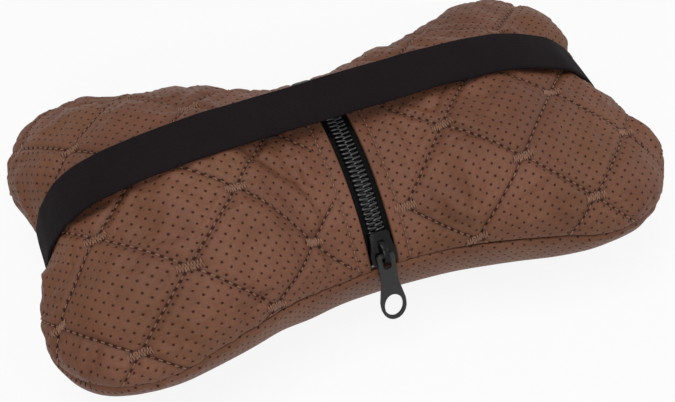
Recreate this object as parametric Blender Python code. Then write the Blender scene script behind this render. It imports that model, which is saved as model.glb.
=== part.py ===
"""Car neck pillow: a quilted, perforated cover with a coil zip over its back, an inner cushion
and an elastic strap that hooks it to a head restraint.

X runs along the pillow, Y across it and Z up. The pillow lies on its front panel, with the zip
and the strap on top. Lengths are in millimetres and become metres when a mesh is made.
"""
import math

import bmesh
import bpy
import numpy as np
from mathutils import Matrix, Vector
from mathutils.geometry import delaunay_2d_cdt

for old in list(bpy.data.objects):
    bpy.data.objects.remove(old, do_unlink=True)

MM = 0.001
CLEARANCE = 0.3

# The pillow's plan: four round lobes joined by a waist and by a notch at each end
PILLOW_LENGTH = 290.0
PILLOW_WIDTH = 168.0
LOBE_RADIUS = 38.0
WAIST_WIDTH = 120.0
NOTCH_DEPTH = 8.0

# The pillow's height, on both sides of the seam
SEAM_HEIGHT = 45.5
WAIST_RISE = 38.0
LOBE_RISE = 45.0
WAIST_DROP = 53.0
LOBE_DROP = 56.0
DOME_ACROSS = 1.8
DOME_ALONG = 3.7
LOBE_START = 0.73

# How the stuffing has settled: the waist lies nearer to the tab's end of the zip, and each part of
# a lobe has its own move in X, Y and Z, given for the near and the far half of the pillow
WAIST_SHIFT = -5.0
LOBE_SETTLED = {
    -1: ((-2.2, 5.5, -7.0), (-1.0, 0.5, -3.0)),
    1: ((1.5, 0.5, -5.5), (-1.0, -7.0, -7.0)),
}
FLANK_SETTLED = {
    -1: ((5.5, -3.0, 4.5), (-1.0, -1.0, 0.5)),
    1: ((-1.5, -7.0, 6.0), (-1.0, -7.0, -6.5)),
}
LOBE_PLACE, FLANK_PLACE, SETTLED_WIDTH = 0.86, 0.41, 0.54

# The quilted leatherette cover
WALL = 3.0
PUFF = 3.4
QUILT_SINK = 1.2
QUILT_HALF_DIAGONAL = 28.0
QUILT_LEFT = (-30.0, -54.0)
QUILT_RIGHT = (15.0, -50.0)
SEAM_DIP = 2.0
SEAM_GAP = 0.3
SEAM_CALM = 14.0

# The folded edges that face the zip
OPENING_WIDTH = 13.0
PLACKET_WIDTH = 9.0
PLACKET_STITCH = 4.5
STITCH_GROOVE = 0.9
STITCH_GROOVE_WIDTH = 3.2
PLACKET_RISE = 6.0
PLACKET_BLEND = 34.0

# The coil zip, measured on the top face of its tape
TAPE_THICKNESS = 0.8
TAPE_WIDTH = 16.0
TAPE_EDGE = 0.4
COIL_PITCH = 2.1
COIL_WIRE = 0.76
COIL_HALF_WIDTH = 3.5
COIL_HEAD_LAP = 0.6
COIL_HEIGHT = 2.5
SPLIT = 1.35
SPLIT_RUN = 9.0

# The slider and its pull tab
SLIDER_LENGTH = 15.0
SLIDER_WALL = 0.8
PLATE_THICKNESS = 1.1
POST_WIDTH = 1.0
POST_LENGTH = 3.8
BRIDGE_WIDTH = 2.6
BRIDGE_THICKNESS = 1.3
BRIDGE_EYE = 3.2
BRIDGE_LENGTH = 10.0
SLIDER_TO_SEAM = 8.4
TAB_LENGTH = 34.0
TAB_THICKNESS = 1.5
TAB_NECK = 8.0
TAB_END = 11.8
TAB_HOLE_WIDTH = 8.8
TAB_HOLE_LENGTH = 11.5
TAB_BAR = 1.6
TAB_SLOT_LENGTH = 4.6
TAB_SHOULDER = 2.5
TAB_CORNER = 1.0
TAB_LEAN = 12.0

# The elastic strap
STRAP_WIDTH = 25.0
STRAP_THICKNESS = 1.5
STRAP_TUCK = 5.0
STRAP_EASE = 0.8

# The inner cushion
CUSHION_GAP = 2.5
CUSHION_RIM_INSET = 10.0
CUSHION_RIM_EASE = 26.0

# How finely the soft pieces are meshed
SIDE_STEPS = 16
END_STEPS = 24
GROOVE_STEPS = (0.0, 0.13, 0.5, 0.87)
PLAIN_STEPS = (0.0, 0.33, 0.67)
PLACKET_STEP = 9.5
RIM_MARGIN = 4.5
TABLE = 96
CUSHION_COLUMNS = 20
CUSHION_ROWS = 12

HALF_LENGTH = PILLOW_LENGTH / 2
HALF_WIDTH = PILLOW_WIDTH / 2
HALF_WAIST = WAIST_WIDTH / 2
HALF_NOTCH = HALF_LENGTH - NOTCH_DEPTH
HALF_OPENING = OPENING_WIDTH / 2

# The zip follows one circular arc over the waist, about an axis along X
ZIP_RADIUS = (HALF_WAIST**2 + WAIST_RISE**2) / (2 * WAIST_RISE)
ZIP_CENTRE_Z = SEAM_HEIGHT + WAIST_RISE - ZIP_RADIUS
TAPE_RADIUS = ZIP_RADIUS - WALL - CLEARANCE
COIL_BASE = CLEARANCE + 0.1
CUSHION_DEPTH_AT_ZIP = WALL + CLEARANCE + TAPE_THICKNESS + PLATE_THICKNESS + 4 * CLEARANCE


def smooth_step(x):
    x = np.clip(x, 0.0, 1.0)
    return x * x * (3 - 2 * x)


def side_of(x):
    return np.where(x < 0, -1.0, 1.0)


def material(name, colour, roughness, metallic=0.0):
    made = bpy.data.materials.new(name)
    made.use_nodes = True
    shader = made.node_tree.nodes["Principled BSDF"]
    shader.inputs["Base Color"].default_value = (*colour, 1.0)
    shader.inputs["Roughness"].default_value = roughness
    shader.inputs["Metallic"].default_value = metallic
    return made


def add_object(name, vertices, faces, finish, smooth_angle=math.radians(50)):
    """A mesh object from vertices in millimetres, with its faces pointing out."""
    mesh = bpy.data.meshes.new(name)
    mesh.from_pydata([tuple(v) for v in np.asarray(vertices, float) * MM], [], [tuple(f) for f in faces])
    outward(mesh)
    mesh.shade_smooth()
    mesh.set_sharp_from_angle(angle=smooth_angle)
    mesh.materials.append(finish)
    piece = bpy.data.objects.new(name, mesh)
    bpy.context.collection.objects.link(piece)
    return piece


def outward(mesh):
    """Turn the faces over if the closed mesh is inside out."""
    solid = bmesh.new()
    solid.from_mesh(mesh)
    bmesh.ops.recalc_face_normals(solid, faces=solid.faces)
    if solid.calc_volume(signed=True) < 0:
        bmesh.ops.reverse_faces(solid, faces=solid.faces)
    solid.to_mesh(mesh)
    solid.free()


def arc(centre, radius, start, end, count):
    angle = np.linspace(start, end, count)
    return np.c_[centre[0] + radius * np.cos(angle), centre[1] + radius * np.sin(angle)]


def outline_quarter():
    """The plan's quarter in +X +Y: the waist and half the lobe, then half the lobe and the notch."""
    lobe = np.array([HALF_LENGTH - LOBE_RADIUS, HALF_WIDTH - LOBE_RADIUS])
    rise = lobe[1] - HALF_WAIST
    waist_radius = (lobe[0] ** 2 + rise**2 - LOBE_RADIUS**2) / (2 * (HALF_WIDTH - HALF_WAIST))
    run = lobe[0] - HALF_NOTCH
    notch_radius = (run**2 + lobe[1] ** 2 - LOBE_RADIUS**2) / (2 * (HALF_LENGTH - HALF_NOTCH))
    waist = np.array([0.0, HALF_WAIST + waist_radius])
    notch = np.array([HALF_NOTCH + notch_radius, 0.0])
    toward_waist = math.atan2(*(lobe - waist)[::-1])
    from_waist = math.atan2(*(waist - lobe)[::-1])
    from_notch = math.atan2(*(notch - lobe)[::-1])
    toward_notch = math.atan2(*(lobe - notch)[::-1]) % (2 * math.pi)
    corner = math.radians(45)
    side = np.vstack([
        arc(waist, waist_radius, -math.pi / 2, toward_waist, 60),
        arc(lobe, LOBE_RADIUS, from_waist, corner, 40)[1:],
    ])
    end = np.vstack([
        arc(lobe, LOBE_RADIUS, corner, from_notch, 40),
        arc(notch, notch_radius, toward_notch, math.pi, 60)[1:],
    ])
    return side, end


SIDE_QUARTER, END_QUARTER = outline_quarter()


def along(points, share):
    """Points on a polyline at shares of its length."""
    steps = np.r_[0, np.cumsum(np.linalg.norm(np.diff(points, axis=0), axis=1))]
    at = np.clip(share, 0, 1) * steps[-1]
    return np.stack([np.interp(at, steps, points[:, 0]), np.interp(at, steps, points[:, 1])], -1)


def side_edge(s):
    """The +Y edge of the plan, from the left lobe's corner at -1 to the right one's at +1."""
    point = along(SIDE_QUARTER, np.abs(s))
    return point * np.stack([np.where(s < 0, -1.0, 1.0), np.ones_like(s)], -1)


def end_edge(t):
    """The +X edge of the plan, from the near lobe's corner at -1 to the far one's at +1."""
    point = along(END_QUARTER, 1 - np.abs(t))
    return point * np.stack([np.ones_like(t), np.where(t < 0, -1.0, 1.0)], -1)


def plan(s, t):
    """Blend the four edges into points of the plan, for s along the pillow and t across it."""
    far, right = side_edge(s), end_edge(t)
    near, left = far * [1, -1], right * [-1, 1]
    u, v = ((s + 1) / 2)[..., None], ((t + 1) / 2)[..., None]
    corner = SIDE_QUARTER[-1]
    flat = (1 - v) * near + v * far + (1 - u) * left + u * right
    return flat - corner * np.concatenate([2 * u - 1, 2 * v - 1], -1)


def dome(s, t, waist, lobe):
    height = waist + (lobe - waist) * smooth_step(np.abs(s) / LOBE_START)
    across = np.sqrt(np.clip(1 - np.abs(t) ** DOME_ACROSS, 0, None))
    lengthwise = np.sqrt(np.clip(1 - np.abs(s) ** DOME_ALONG, 0, None))
    return height * across * lengthwise


def settled(points):
    """Move points of the pillow as its stuffing lies in it, and by one and the same step near the zip."""
    points = np.asarray(points, float)
    x, y, z = np.moveaxis(points, -1, 0)
    waist = ((0.0, WAIST_SHIFT, 0.0),) * 2
    calm = TAPE_WIDTH + 2 * CLEARANCE
    places = np.array([-LOBE_PLACE * HALF_LENGTH, -FLANK_PLACE * HALF_LENGTH, -calm])
    places = np.r_[places, -places[::-1]]
    moves = np.array([LOBE_SETTLED[-1], FLANK_SETTLED[-1], waist, waist, FLANK_SETTLED[1], LOBE_SETTLED[1]])
    index = np.clip(np.searchsorted(places, x) - 1, 0, len(places) - 2)
    share = smooth_step((x - places[index]) / (places[index + 1] - places[index]))[..., None, None]
    both = moves[index] * (1 - share) + moves[index + 1] * share
    far = smooth_step(0.5 + y / (2 * SETTLED_WIDTH * HALF_WIDTH))[..., None]
    move = both[..., 0, :] * (1 - far) + both[..., 1, :] * far
    move[..., 2] *= z / (SEAM_HEIGHT + LOBE_RISE)
    return points + move


def zip_share(x):
    """One where the cover follows the zip's arc, falling to nothing beside it."""
    flat = HALF_OPENING + PLACKET_WIDTH + CLEARANCE
    return 1 - smooth_step((np.abs(x) - flat) / PLACKET_BLEND)


def back_point(s, t, opening=HALF_OPENING):
    """The right half of the back without its quilting, its columns moved aside for the zip's opening."""
    flat = plan(s, t)
    aside = (1 - np.abs(s)) ** 3
    x, y = flat[..., 0] + opening * aside, flat[..., 1]
    across = y * HALF_WAIST / side_edge(s)[..., 1]
    ridge = np.sqrt(np.clip(ZIP_RADIUS**2 - across**2, 0, None)) + ZIP_CENTRE_Z - SEAM_HEIGHT
    share = zip_share(x)
    rise = dome(np.clip(s + opening / HALF_LENGTH * aside, -1, 1), t, WAIST_RISE, LOBE_RISE)
    return np.stack([x, y, SEAM_HEIGHT + rise * (1 - share) + np.clip(ridge, 0, None) * share], -1)


def back_surface(s, t):
    """The whole back's smooth form, with no opening."""
    return back_point(s, t, 0.0)


def front_surface(s, t):
    """The front's smooth form, pressed flat where the pillow lies on it."""
    flat = plan(s, t)
    height = SEAM_HEIGHT - dome(s, t, WAIST_DROP, LOBE_DROP)
    return np.stack([flat[..., 0], flat[..., 1], np.clip(height, 0, None)], -1)


def grid_normals(points, up):
    """Normals of a grid of points; up is 1 for the back and -1 for the front."""
    normal = np.cross(np.gradient(points, axis=0), np.gradient(points, axis=1)) * up
    return normal / np.linalg.norm(normal, axis=-1, keepdims=True)


def edge_normals(s, t):
    """Level normals of the plan's outline, which hold where the pillow meets its seam."""
    step = 0.002
    end = end_edge(t + step) - end_edge(t - step)
    side = side_edge(s + step) - side_edge(s - step)
    from_end = np.stack([end[..., 1] * side_of(s), -end[..., 0], 0 * s], -1)
    from_side = np.stack([-side[..., 1], side[..., 0] * side_of(t), 0 * s], -1)
    level = np.where((np.abs(s) > 1 - 1e-6)[..., None], from_end, from_side)
    return level / np.linalg.norm(level, axis=-1, keepdims=True)


def spread(share):
    """Turn an even share from -1 to 1 into one that crowds where the form turns down to its seam."""
    return np.sin(share * math.pi / 2)


class Fabric:
    """Lengths along one panel's cloth, and the way back from them to the panel's surface."""

    def __init__(self, point, first, start):
        self.point, self.first = point, first
        self.rows = np.linspace(first, 1, TABLE + 1)
        self.columns = np.linspace(-1, 1, TABLE + 1)
        sigma, tau = np.meshgrid(self.rows, self.columns, indexing="ij")
        grid = point(spread(sigma), spread(tau))
        along_rows = np.linalg.norm(np.diff(grid, axis=0), axis=-1)
        along_columns = np.linalg.norm(np.diff(grid, axis=1), axis=-1)
        u = np.concatenate([np.zeros((1, TABLE + 1)), np.cumsum(along_rows, 0)], 0)
        v = np.concatenate([np.zeros((TABLE + 1, 1)), np.cumsum(along_columns, 1)], 1)
        middle = 0 if first == 0 else TABLE // 2
        self.u = u - u[middle] + start
        self.v = v - v[:, TABLE // 2][:, None]

    def lookup(self, table, sigma, tau):
        row = np.clip((sigma - self.first) / (1 - self.first) * TABLE, 0, TABLE - 1e-9)
        column = np.clip((tau + 1) / 2 * TABLE, 0, TABLE - 1e-9)
        i, j = row.astype(int), column.astype(int)
        a, b = row - i, column - j
        low = table[i, j] * (1 - b) + table[i, j + 1] * b
        return low * (1 - a) + (table[i + 1, j] * (1 - b) + table[i + 1, j + 1] * b) * a

    def lengths(self, sigma, tau):
        return np.stack([self.lookup(self.u, sigma, tau), self.lookup(self.v, sigma, tau)], -1)

    def shares(self, flat):
        """The shares of the surface under points of the cloth, and which of them are on it."""
        sigma, tau = 0 * flat[:, 0], 0 * flat[:, 0]
        for _ in range(40):
            gap = flat - self.lengths(sigma, tau)
            sigma = np.clip(sigma + gap[:, 0] / self.u.max(), self.first, 1)
            tau = np.clip(tau + gap[:, 1] / self.v.max(), -1, 1)
        gap = flat - self.lengths(sigma, tau)
        return sigma, tau, np.linalg.norm(gap, axis=1) < 0.2


def quilting(u, v, origin):
    """Puffed squares set on their corners: full in the middle, drawn in on the stitch lines."""
    a = ((u - origin[0]) + (v - origin[1])) / (2 * QUILT_HALF_DIAGONAL)
    b = ((u - origin[0]) - (v - origin[1])) / (2 * QUILT_HALF_DIAGONAL)
    across = 1 - (2 * (a % 1) - 1) ** 2
    down = 1 - (2 * (b % 1) - 1) ** 2
    return PUFF * np.sqrt(across * down) - QUILT_SINK


def rim_distance(s, t):
    """About how far a point of the cover is from the seam, along the cover."""
    return np.minimum((1 - np.abs(s)) * HALF_LENGTH, (1 - np.abs(t)) * HALF_WIDTH) * 1.6


def crowded(count):
    """Values from -1 to +1 that crowd toward both ends, where the form turns fastest."""
    return spread(np.linspace(-1, 1, count))


def rim_gap(x, y):
    """Half the space between the two panels' edges, wider where the strap's end is sewn in."""
    beside_strap = smooth_step((STRAP_WIDTH / 2 + 6 - np.abs(y)) / 4)
    at_notch = smooth_step((np.abs(x) - HALF_NOTCH + 12) / 6)
    return SEAM_GAP / 2 + (STRAP_THICKNESS / 2 + 1.5 * CLEARANCE) * beside_strap * at_notch


def surface_normals(point, sigma, tau, up):
    """Normals of a panel's smooth form, level where it meets its seam."""
    step = 0.004
    ahead = np.minimum(sigma + step, 1), np.minimum(tau + step, 1)
    behind = sigma - step, np.maximum(tau - step, -1)
    along_pillow = point(spread(ahead[0]), spread(tau)) - point(spread(behind[0]), spread(tau))
    across_pillow = point(spread(sigma), spread(ahead[1])) - point(spread(sigma), spread(behind[1]))
    normal = np.cross(along_pillow, across_pillow) * up
    length = np.linalg.norm(normal, axis=-1, keepdims=True)
    at_seam = on_seam(sigma, tau)
    normal = normal / np.where(length > 0, length, 1)
    normal[at_seam] = edge_normals(spread(sigma), spread(tau))[at_seam]
    return normal


def on_seam(sigma, tau):
    return (np.abs(sigma) > 1 - 1e-6) | (np.abs(tau) > 1 - 1e-6)


def lattice(fabric, origin, parts, first_u):
    """Points of the cloth at the given parts of each square of the quilting, clear of the seam."""
    reach = int((np.abs(fabric.u).max() + fabric.v.max()) / (2 * QUILT_HALF_DIAGONAL)) + 2
    steps = np.array([cell + part for cell in range(-reach, reach) for part in parts])
    a, b = (grid.ravel() for grid in np.meshgrid(steps, steps, indexing="ij"))
    flat = np.stack([a + b, a - b], -1) * QUILT_HALF_DIAGONAL + origin
    sigma, tau, held = fabric.shares(flat)
    inside = held & (flat[:, 0] > first_u) & (rim_distance(spread(sigma), spread(tau)) > 0)
    sides = np.stack([fabric.lengths(sigma, np.sign(tau)), fabric.lengths(np.copysign(1, sigma), tau)])
    clear = np.linalg.norm(sides - flat, axis=-1).min(0) > RIM_MARGIN
    keep = inside & clear
    return np.stack([sigma, tau], -1)[keep]


def panel(name, point, first, origin, parts, up, side, relief_of, finish):
    """A panel of the cover: an outer and an inner wall over one net of triangles, joined at the rim."""
    fabric = Fabric(point, first, HALF_OPENING if first == 0 else 0.0)
    end = np.linspace(-1, 1, END_STEPS + 1)
    lengthwise = np.linspace(first, 1, SIDE_STEPS * (2 if first < 0 else 1) + 1)
    edge = [(first, t) for t in end] + [(s, 1.0) for s in lengthwise[1:]]
    edge += [(1.0, t) for t in end[-2::-1]] + [(s, -1.0) for s in lengthwise[-2:0:-1]]
    beside_zip = HALF_OPENING + PLACKET_WIDTH + PLACKET_RISE / 2
    inner_points = [lattice(fabric, origin, parts, beside_zip if first == 0 else -math.inf)]
    if first == 0:
        inner_points.append(placket_points(fabric))
    shares = np.vstack([np.array(edge), *inner_points])
    flat = fabric.lengths(shares[:, 0], shares[:, 1])
    loop = list(range(len(edge)))
    _, _, triangles, originals, _, _ = delaunay_2d_cdt([Vector(p) for p in flat], [], [loop], 1, 1e-4)
    kept = [sources[0] for sources in originals]
    place = {source: i for i, source in enumerate(kept)}
    sigma, tau = shares[kept, 0], shares[kept, 1]
    base = point(spread(sigma), spread(tau))
    normal = surface_normals(point, sigma, tau, up)
    at_seam = on_seam(sigma, tau)
    relief = relief_of(fabric, sigma, tau)
    outer = base + normal * relief[:, None]
    inner = base - normal * WALL
    outer[at_seam] = base[at_seam] - normal[at_seam] * SEAM_DIP
    gap = rim_gap(base[:, 0], base[:, 1])
    for wall in (outer, inner):
        wall[at_seam, 2] = SEAM_HEIGHT + up * gap[at_seam]
        clear_of_seam = np.maximum(up * (wall[:, 2] - SEAM_HEIGHT), SEAM_GAP / 2)
        wall[:, 2] = np.maximum(SEAM_HEIGHT + up * clear_of_seam, 0)
        wall[:, 0] *= side
        wall[:] = settled(wall)
    count = len(kept)
    ring = [place[i] for i in loop if i in place]
    faces = [tuple(face) for face in triangles]
    faces += [tuple(i + count for i in face[::-1]) for face in triangles]
    faces += [(b, a, a + count, b + count) for a, b in zip(ring, ring[1:] + ring[:1])]
    add_object(name, np.vstack([outer, inner]), faces, finish)
    return outer, triangles


def placket_points(fabric):
    """Rows of points along the folded edge beside the zip, with its line of stitches."""
    half = fabric.v[0].max()
    rows = np.linspace(-half, half, int(2 * half / PLACKET_STEP) + 1)[1:-1]
    beside = STITCH_GROOVE_WIDTH / 2
    fold = PLACKET_WIDTH - PLACKET_STITCH + 1
    columns = HALF_OPENING + PLACKET_STITCH + np.array([-beside, 0, beside, fold])
    u, v = (grid.ravel() for grid in np.meshgrid(columns, rows, indexing="ij"))
    sigma, tau, held = fabric.shares(np.stack([u, v], -1))
    return np.stack([sigma, tau], -1)[held & (1 - np.abs(tau) > 0.03)]


def back_panel(name, side, origin, finish):
    def relief_of(fabric, sigma, tau):
        u, v = fabric.lengths(sigma, tau).T
        beside_zip = smooth_step((u - HALF_OPENING - PLACKET_WIDTH) / PLACKET_RISE)
        calm = smooth_step(rim_distance(spread(sigma), spread(tau)) / SEAM_CALM)
        groove = STITCH_GROOVE * (np.abs(u - HALF_OPENING - PLACKET_STITCH) < STITCH_GROOVE_WIDTH / 4)
        return quilting(u, v, origin) * beside_zip * calm - groove

    origin = (origin[0] * side, origin[1])
    return panel(name, back_point, 0, origin, GROOVE_STEPS, 1, side, relief_of, finish)


def front_panel(finish):
    """The plain panel that the pillow lies on."""
    def relief_of(fabric, sigma, tau):
        return 0 * sigma

    return panel("front_panel", front_surface, -1, (0.0, 0.0), PLAIN_STEPS, -1, 1, relief_of, finish)


def inner_cushion(finish):
    s, t = np.meshgrid(crowded(CUSHION_COLUMNS + 1), crowded(CUSHION_ROWS + 1), indexing="ij")
    inside = (np.abs(s) < 1 - 1e-6) & (np.abs(t) < 1 - 1e-6)
    level = edge_normals(s, t)
    halves = []
    for up, base in ((1, back_surface(s, t)), (-1, front_surface(s, t))):
        normal = grid_normals(base, up)
        normal[~inside] = level[~inside]
        depth = np.full(s.shape, WALL + CUSHION_GAP)
        if up > 0:
            depth += (CUSHION_DEPTH_AT_ZIP - WALL - CUSHION_GAP) * zip_share(base[..., 0] * 0.7)
        fall = smooth_step(1 - rim_distance(s, t) / CUSHION_RIM_EASE)
        depth += (CUSHION_RIM_INSET - depth) * fall
        halves.append(base - normal * depth[..., None])
    top, bottom = halves
    rim = ~inside
    top[rim, 2] = SEAM_HEIGHT
    count = s.size
    index = np.arange(count).reshape(s.shape)
    under = np.where(inside, index + count, index)
    faces = []
    for layer, turn in ((index, 1), (under, -1)):
        low, high = layer[:-1, :-1].ravel(), layer[1:, :-1].ravel()
        far, near = layer[1:, 1:].ravel(), layer[:-1, 1:].ravel()
        faces += [face[::turn] for face in zip(low, high, far, near)]
    used = sorted({i for face in faces for i in face})
    renumber = {old: new for new, old in enumerate(used)}
    vertices = settled(np.vstack([top.reshape(-1, 3), bottom.reshape(-1, 3)])[used])
    return add_object("inner_cushion", vertices, [[renumber[i] for i in f] for f in faces], finish)


def on_zip(x, run, height):
    """A point of the zip: x across it, run along the tape's top and height above that."""
    angle = run / TAPE_RADIUS
    radius = TAPE_RADIUS + height
    y, z = WAIST_SHIFT + radius * np.sin(angle), ZIP_CENTRE_Z + radius * np.cos(angle)
    return np.stack([x + 0 * angle, y, z], -1)


TAPE_END = math.acos((SEAM_HEIGHT + 2 * CLEARANCE - ZIP_CENTRE_Z) / TAPE_RADIUS) * TAPE_RADIUS
SLIDER_RUN = -(TAPE_END - SLIDER_TO_SEAM)
SLIDER_ANGLE = SLIDER_RUN / TAPE_RADIUS


def split(run):
    """How far each half of the zip stands aside: nothing where closed, SPLIT past the slider."""
    return SPLIT * smooth_step((SLIDER_RUN + SLIDER_LENGTH / 4 - run) / SPLIT_RUN)


def zipper_tape(name, side, finish):
    run = np.linspace(-TAPE_END, TAPE_END, 45)
    inner = TAPE_EDGE + split(run)
    outer = np.full_like(run, TAPE_WIDTH)
    below, above = -TAPE_THICKNESS, 0.0
    corners = [(inner, below), (outer, below), (outer, above), (inner, above)]
    rings = np.stack([on_zip(side * x, run, height) for x, height in corners], 1)
    return swept(name, rings, finish)


def swept(name, rings, finish, smooth_angle=math.radians(50)):
    """A closed solid through rings of points, with its two ends filled."""
    count, sides = rings.shape[:2]
    faces = [tuple(range(sides))[::-1], tuple(range((count - 1) * sides, count * sides))]
    for i in range(count - 1):
        for j in range(sides):
            k = (j + 1) % sides
            faces.append((i * sides + j, i * sides + k, (i + 1) * sides + k, (i + 1) * sides + j))
    return add_object(name, rings.reshape(-1, 3), faces, finish, smooth_angle)


def wire_rings(path, radius, sides):
    """Rings of a wire along a path, square to it and never narrower at a bend."""
    forward = np.diff(path, axis=0)
    forward /= np.linalg.norm(forward, axis=1, keepdims=True)
    into = np.vstack([forward[:1], forward])
    out = np.vstack([forward, forward[-1:]])
    tangent = into + out
    tangent /= np.linalg.norm(tangent, axis=1, keepdims=True)
    flat = np.cross(tangent, [0.0, 1.0, 0.0])
    flat /= np.linalg.norm(flat, axis=1, keepdims=True)
    level = np.cross(flat, tangent)
    stretch = 1 / np.clip((tangent * out).sum(1), 0.6, 1)
    turn = np.linspace(0, 2 * math.pi, sides, endpoint=False) + math.pi / sides
    around = np.cos(turn)[None, :, None] * flat[:, None, :] * stretch[:, None, None]
    return path[:, None, :] + radius * (around + np.sin(turn)[None, :, None] * level[:, None, :])


def zipper_coil(name, side, finish):
    """One half of the coil: a flattened helix whose heads lap the other half's at the middle."""
    wire = COIL_WIRE / 2
    head = COIL_HEAD_LAP - wire
    back = -COIL_HALF_WIDTH + wire
    low, high = COIL_BASE + wire, COIL_BASE + COIL_HEIGHT - wire
    middle = (low + high) / 2
    turns = int((2 * TAPE_END - 4) / COIL_PITCH)
    start = -turns * COIL_PITCH / 2 + (COIL_PITCH / 2 if side > 0 else 0)
    path = []
    for turn in range(turns):
        run = start + turn * COIL_PITCH
        for x, height in ((back, low), (head - 0.5, low), (head, middle), (head - 0.5, high), (back, high)):
            path.append((x, run, height))
    path = np.array(path)
    rings = wire_rings(path, wire * math.sqrt(2), 4)
    aside = split(path[:, 1])[:, None]
    placed = on_zip(side * (aside - rings[..., 0]), rings[..., 1], rings[..., 2])
    return swept(name, placed, finish, math.radians(40))


def prism(points, low, high):
    """A closed prism over a flat outline in X and Y."""
    count = len(points)
    vertices = [(*p, low) for p in points] + [(*p, high) for p in points]
    faces = [tuple(range(count))[::-1], tuple(range(count, 2 * count))]
    faces += [(i, (i + 1) % count, (i + 1) % count + count, i + count) for i in range(count)]
    return vertices, faces


def joined(name, parts, finish, cuts=()):
    """One solid from closed parts that overlap, less the cuts."""
    first = add_object(name, *parts[0], finish, math.radians(35))
    helpers = []
    for operation, group in (("UNION", parts[1:]), ("DIFFERENCE", cuts)):
        for part in group:
            helper = add_object(f"{name}_helper", *part, finish)
            helpers.append(helper)
            step = first.modifiers.new(operation.lower(), "BOOLEAN")
            step.operation = operation
            step.object = helper
    evaluated = first.evaluated_get(bpy.context.evaluated_depsgraph_get())
    whole = bpy.data.meshes.new_from_object(evaluated)
    first.modifiers.clear()
    first.data = whole
    whole.shade_smooth()
    whole.set_sharp_from_angle(angle=math.radians(35))
    for helper in helpers:
        bpy.data.objects.remove(helper, do_unlink=True)
    return first


def upright(points, low, high):
    """A prism over an outline in Y and Z, from low to high along X."""
    vertices, faces = prism(points, low, high)
    return [(z, x, y) for x, y, z in vertices], faces


MOUTH = COIL_HALF_WIDTH + SPLIT + CLEARANCE * 0.8 + SLIDER_WALL
THROAT = COIL_HALF_WIDTH + CLEARANCE + SLIDER_WALL
PLATE_LOW = COIL_BASE + COIL_HEIGHT + 2 * CLEARANCE
PLATE_TOP = PLATE_LOW + PLATE_THICKNESS
TAPE_SAG = SLIDER_LENGTH**2 / (8 * TAPE_RADIUS)
UNDER_TOP = -TAPE_THICKNESS - TAPE_SAG - CLEARANCE
UNDER_LOW = UNDER_TOP - PLATE_THICKNESS
PIVOT_HEIGHT = PLATE_TOP + BRIDGE_EYE / 2 + CLEARANCE
PIVOT_RUN = -SLIDER_LENGTH / 2 + 4.4


def slider_outline(inset=0.0):
    """The slider's plate from above: a wide mouth at -Y, a narrow throat at +Y, rounded corners."""
    half = SLIDER_LENGTH / 2
    mouth, throat = MOUTH - inset, THROAT - inset
    right = [
        (mouth - 1.6, -half), (mouth - 0.5, -half + 0.5), (mouth, -half + 1.6), (mouth, -half + 4.5),
        (throat + 0.35, half - 6.0), (throat, half - 4.0), (throat, half - 1.2), (throat - 1.2, half),
    ]
    return right + [(-x, y) for x, y in right[::-1]]


def slider_wall(side):
    """One of the slider's side walls, which hold the coils in line."""
    half = SLIDER_LENGTH / 2
    outside = [(MOUTH, -half + 1.6), (MOUTH, -half + 4.5), (THROAT + 0.35, half - 6.0), (THROAT, half - 4.0),
               (THROAT, half - 1.0)]
    inside = [(x - SLIDER_WALL, y) for x, y in outside[::-1]]
    outline = [(side * x, y) for x, y in outside + inside]
    return prism(outline, CLEARANCE * 1.5, PLATE_LOW + 0.4)


def zipper_slider(finish):
    half = SLIDER_LENGTH / 2
    post_far = -half + 0.5 + POST_LENGTH
    post_half = POST_WIDTH / 2
    post = [(-post_half, -half + 0.8), (post_half, -half + 0.8), (post_half, post_far - 1.4), (0, post_far),
            (-post_half, post_far - 1.4)]
    top = PLATE_TOP + BRIDGE_EYE + CLEARANCE
    near, far = PIVOT_RUN - 3.4, PIVOT_RUN - 3.4 + BRIDGE_LENGTH
    rim = BRIDGE_THICKNESS
    bridge = [
        (near, PLATE_TOP - 0.3), (near, top - 0.8), (near + 1.2, top + rim - 0.2), (near + 2.4, top + rim),
        (far - 4.0, top + rim), (far - 1.6, top + rim - 1.2), (far, PLATE_TOP + 0.6), (far, PLATE_TOP - 0.3),
    ]
    eye = [
        (near + rim, PLATE_TOP), (near + rim, top - 0.7), (near + rim + 0.7, top),
        (far - 4.4, top), (far - 2.6, top - 1.0), (far - 1.6, PLATE_TOP),
    ]
    parts = [
        prism(slider_outline(), PLATE_LOW, PLATE_TOP),
        prism(slider_outline(0.3), UNDER_LOW, UNDER_TOP),
        slider_wall(1),
        slider_wall(-1),
        prism(post, UNDER_LOW + 0.3, PLATE_LOW + 0.3),
        upright(bridge, -BRIDGE_WIDTH / 2, BRIDGE_WIDTH / 2),
    ]
    cuts = [upright(eye, -BRIDGE_WIDTH, BRIDGE_WIDTH)]
    slider = joined("zipper_slider", parts, finish, cuts)
    slider.data.transform(Matrix.Translation((0, 0, TAPE_RADIUS * MM)))
    slider.location = (0, WAIST_SHIFT * MM, ZIP_CENTRE_Z * MM)
    slider.rotation_euler = (-SLIDER_ANGLE, 0, 0)
    return slider


def ellipse(centre_y, half_x, half_y, count):
    turn = np.linspace(0, 2 * math.pi, count, endpoint=False)
    return [(half_x * math.cos(a), centre_y + half_y * math.sin(a)) for a in turn]


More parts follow.
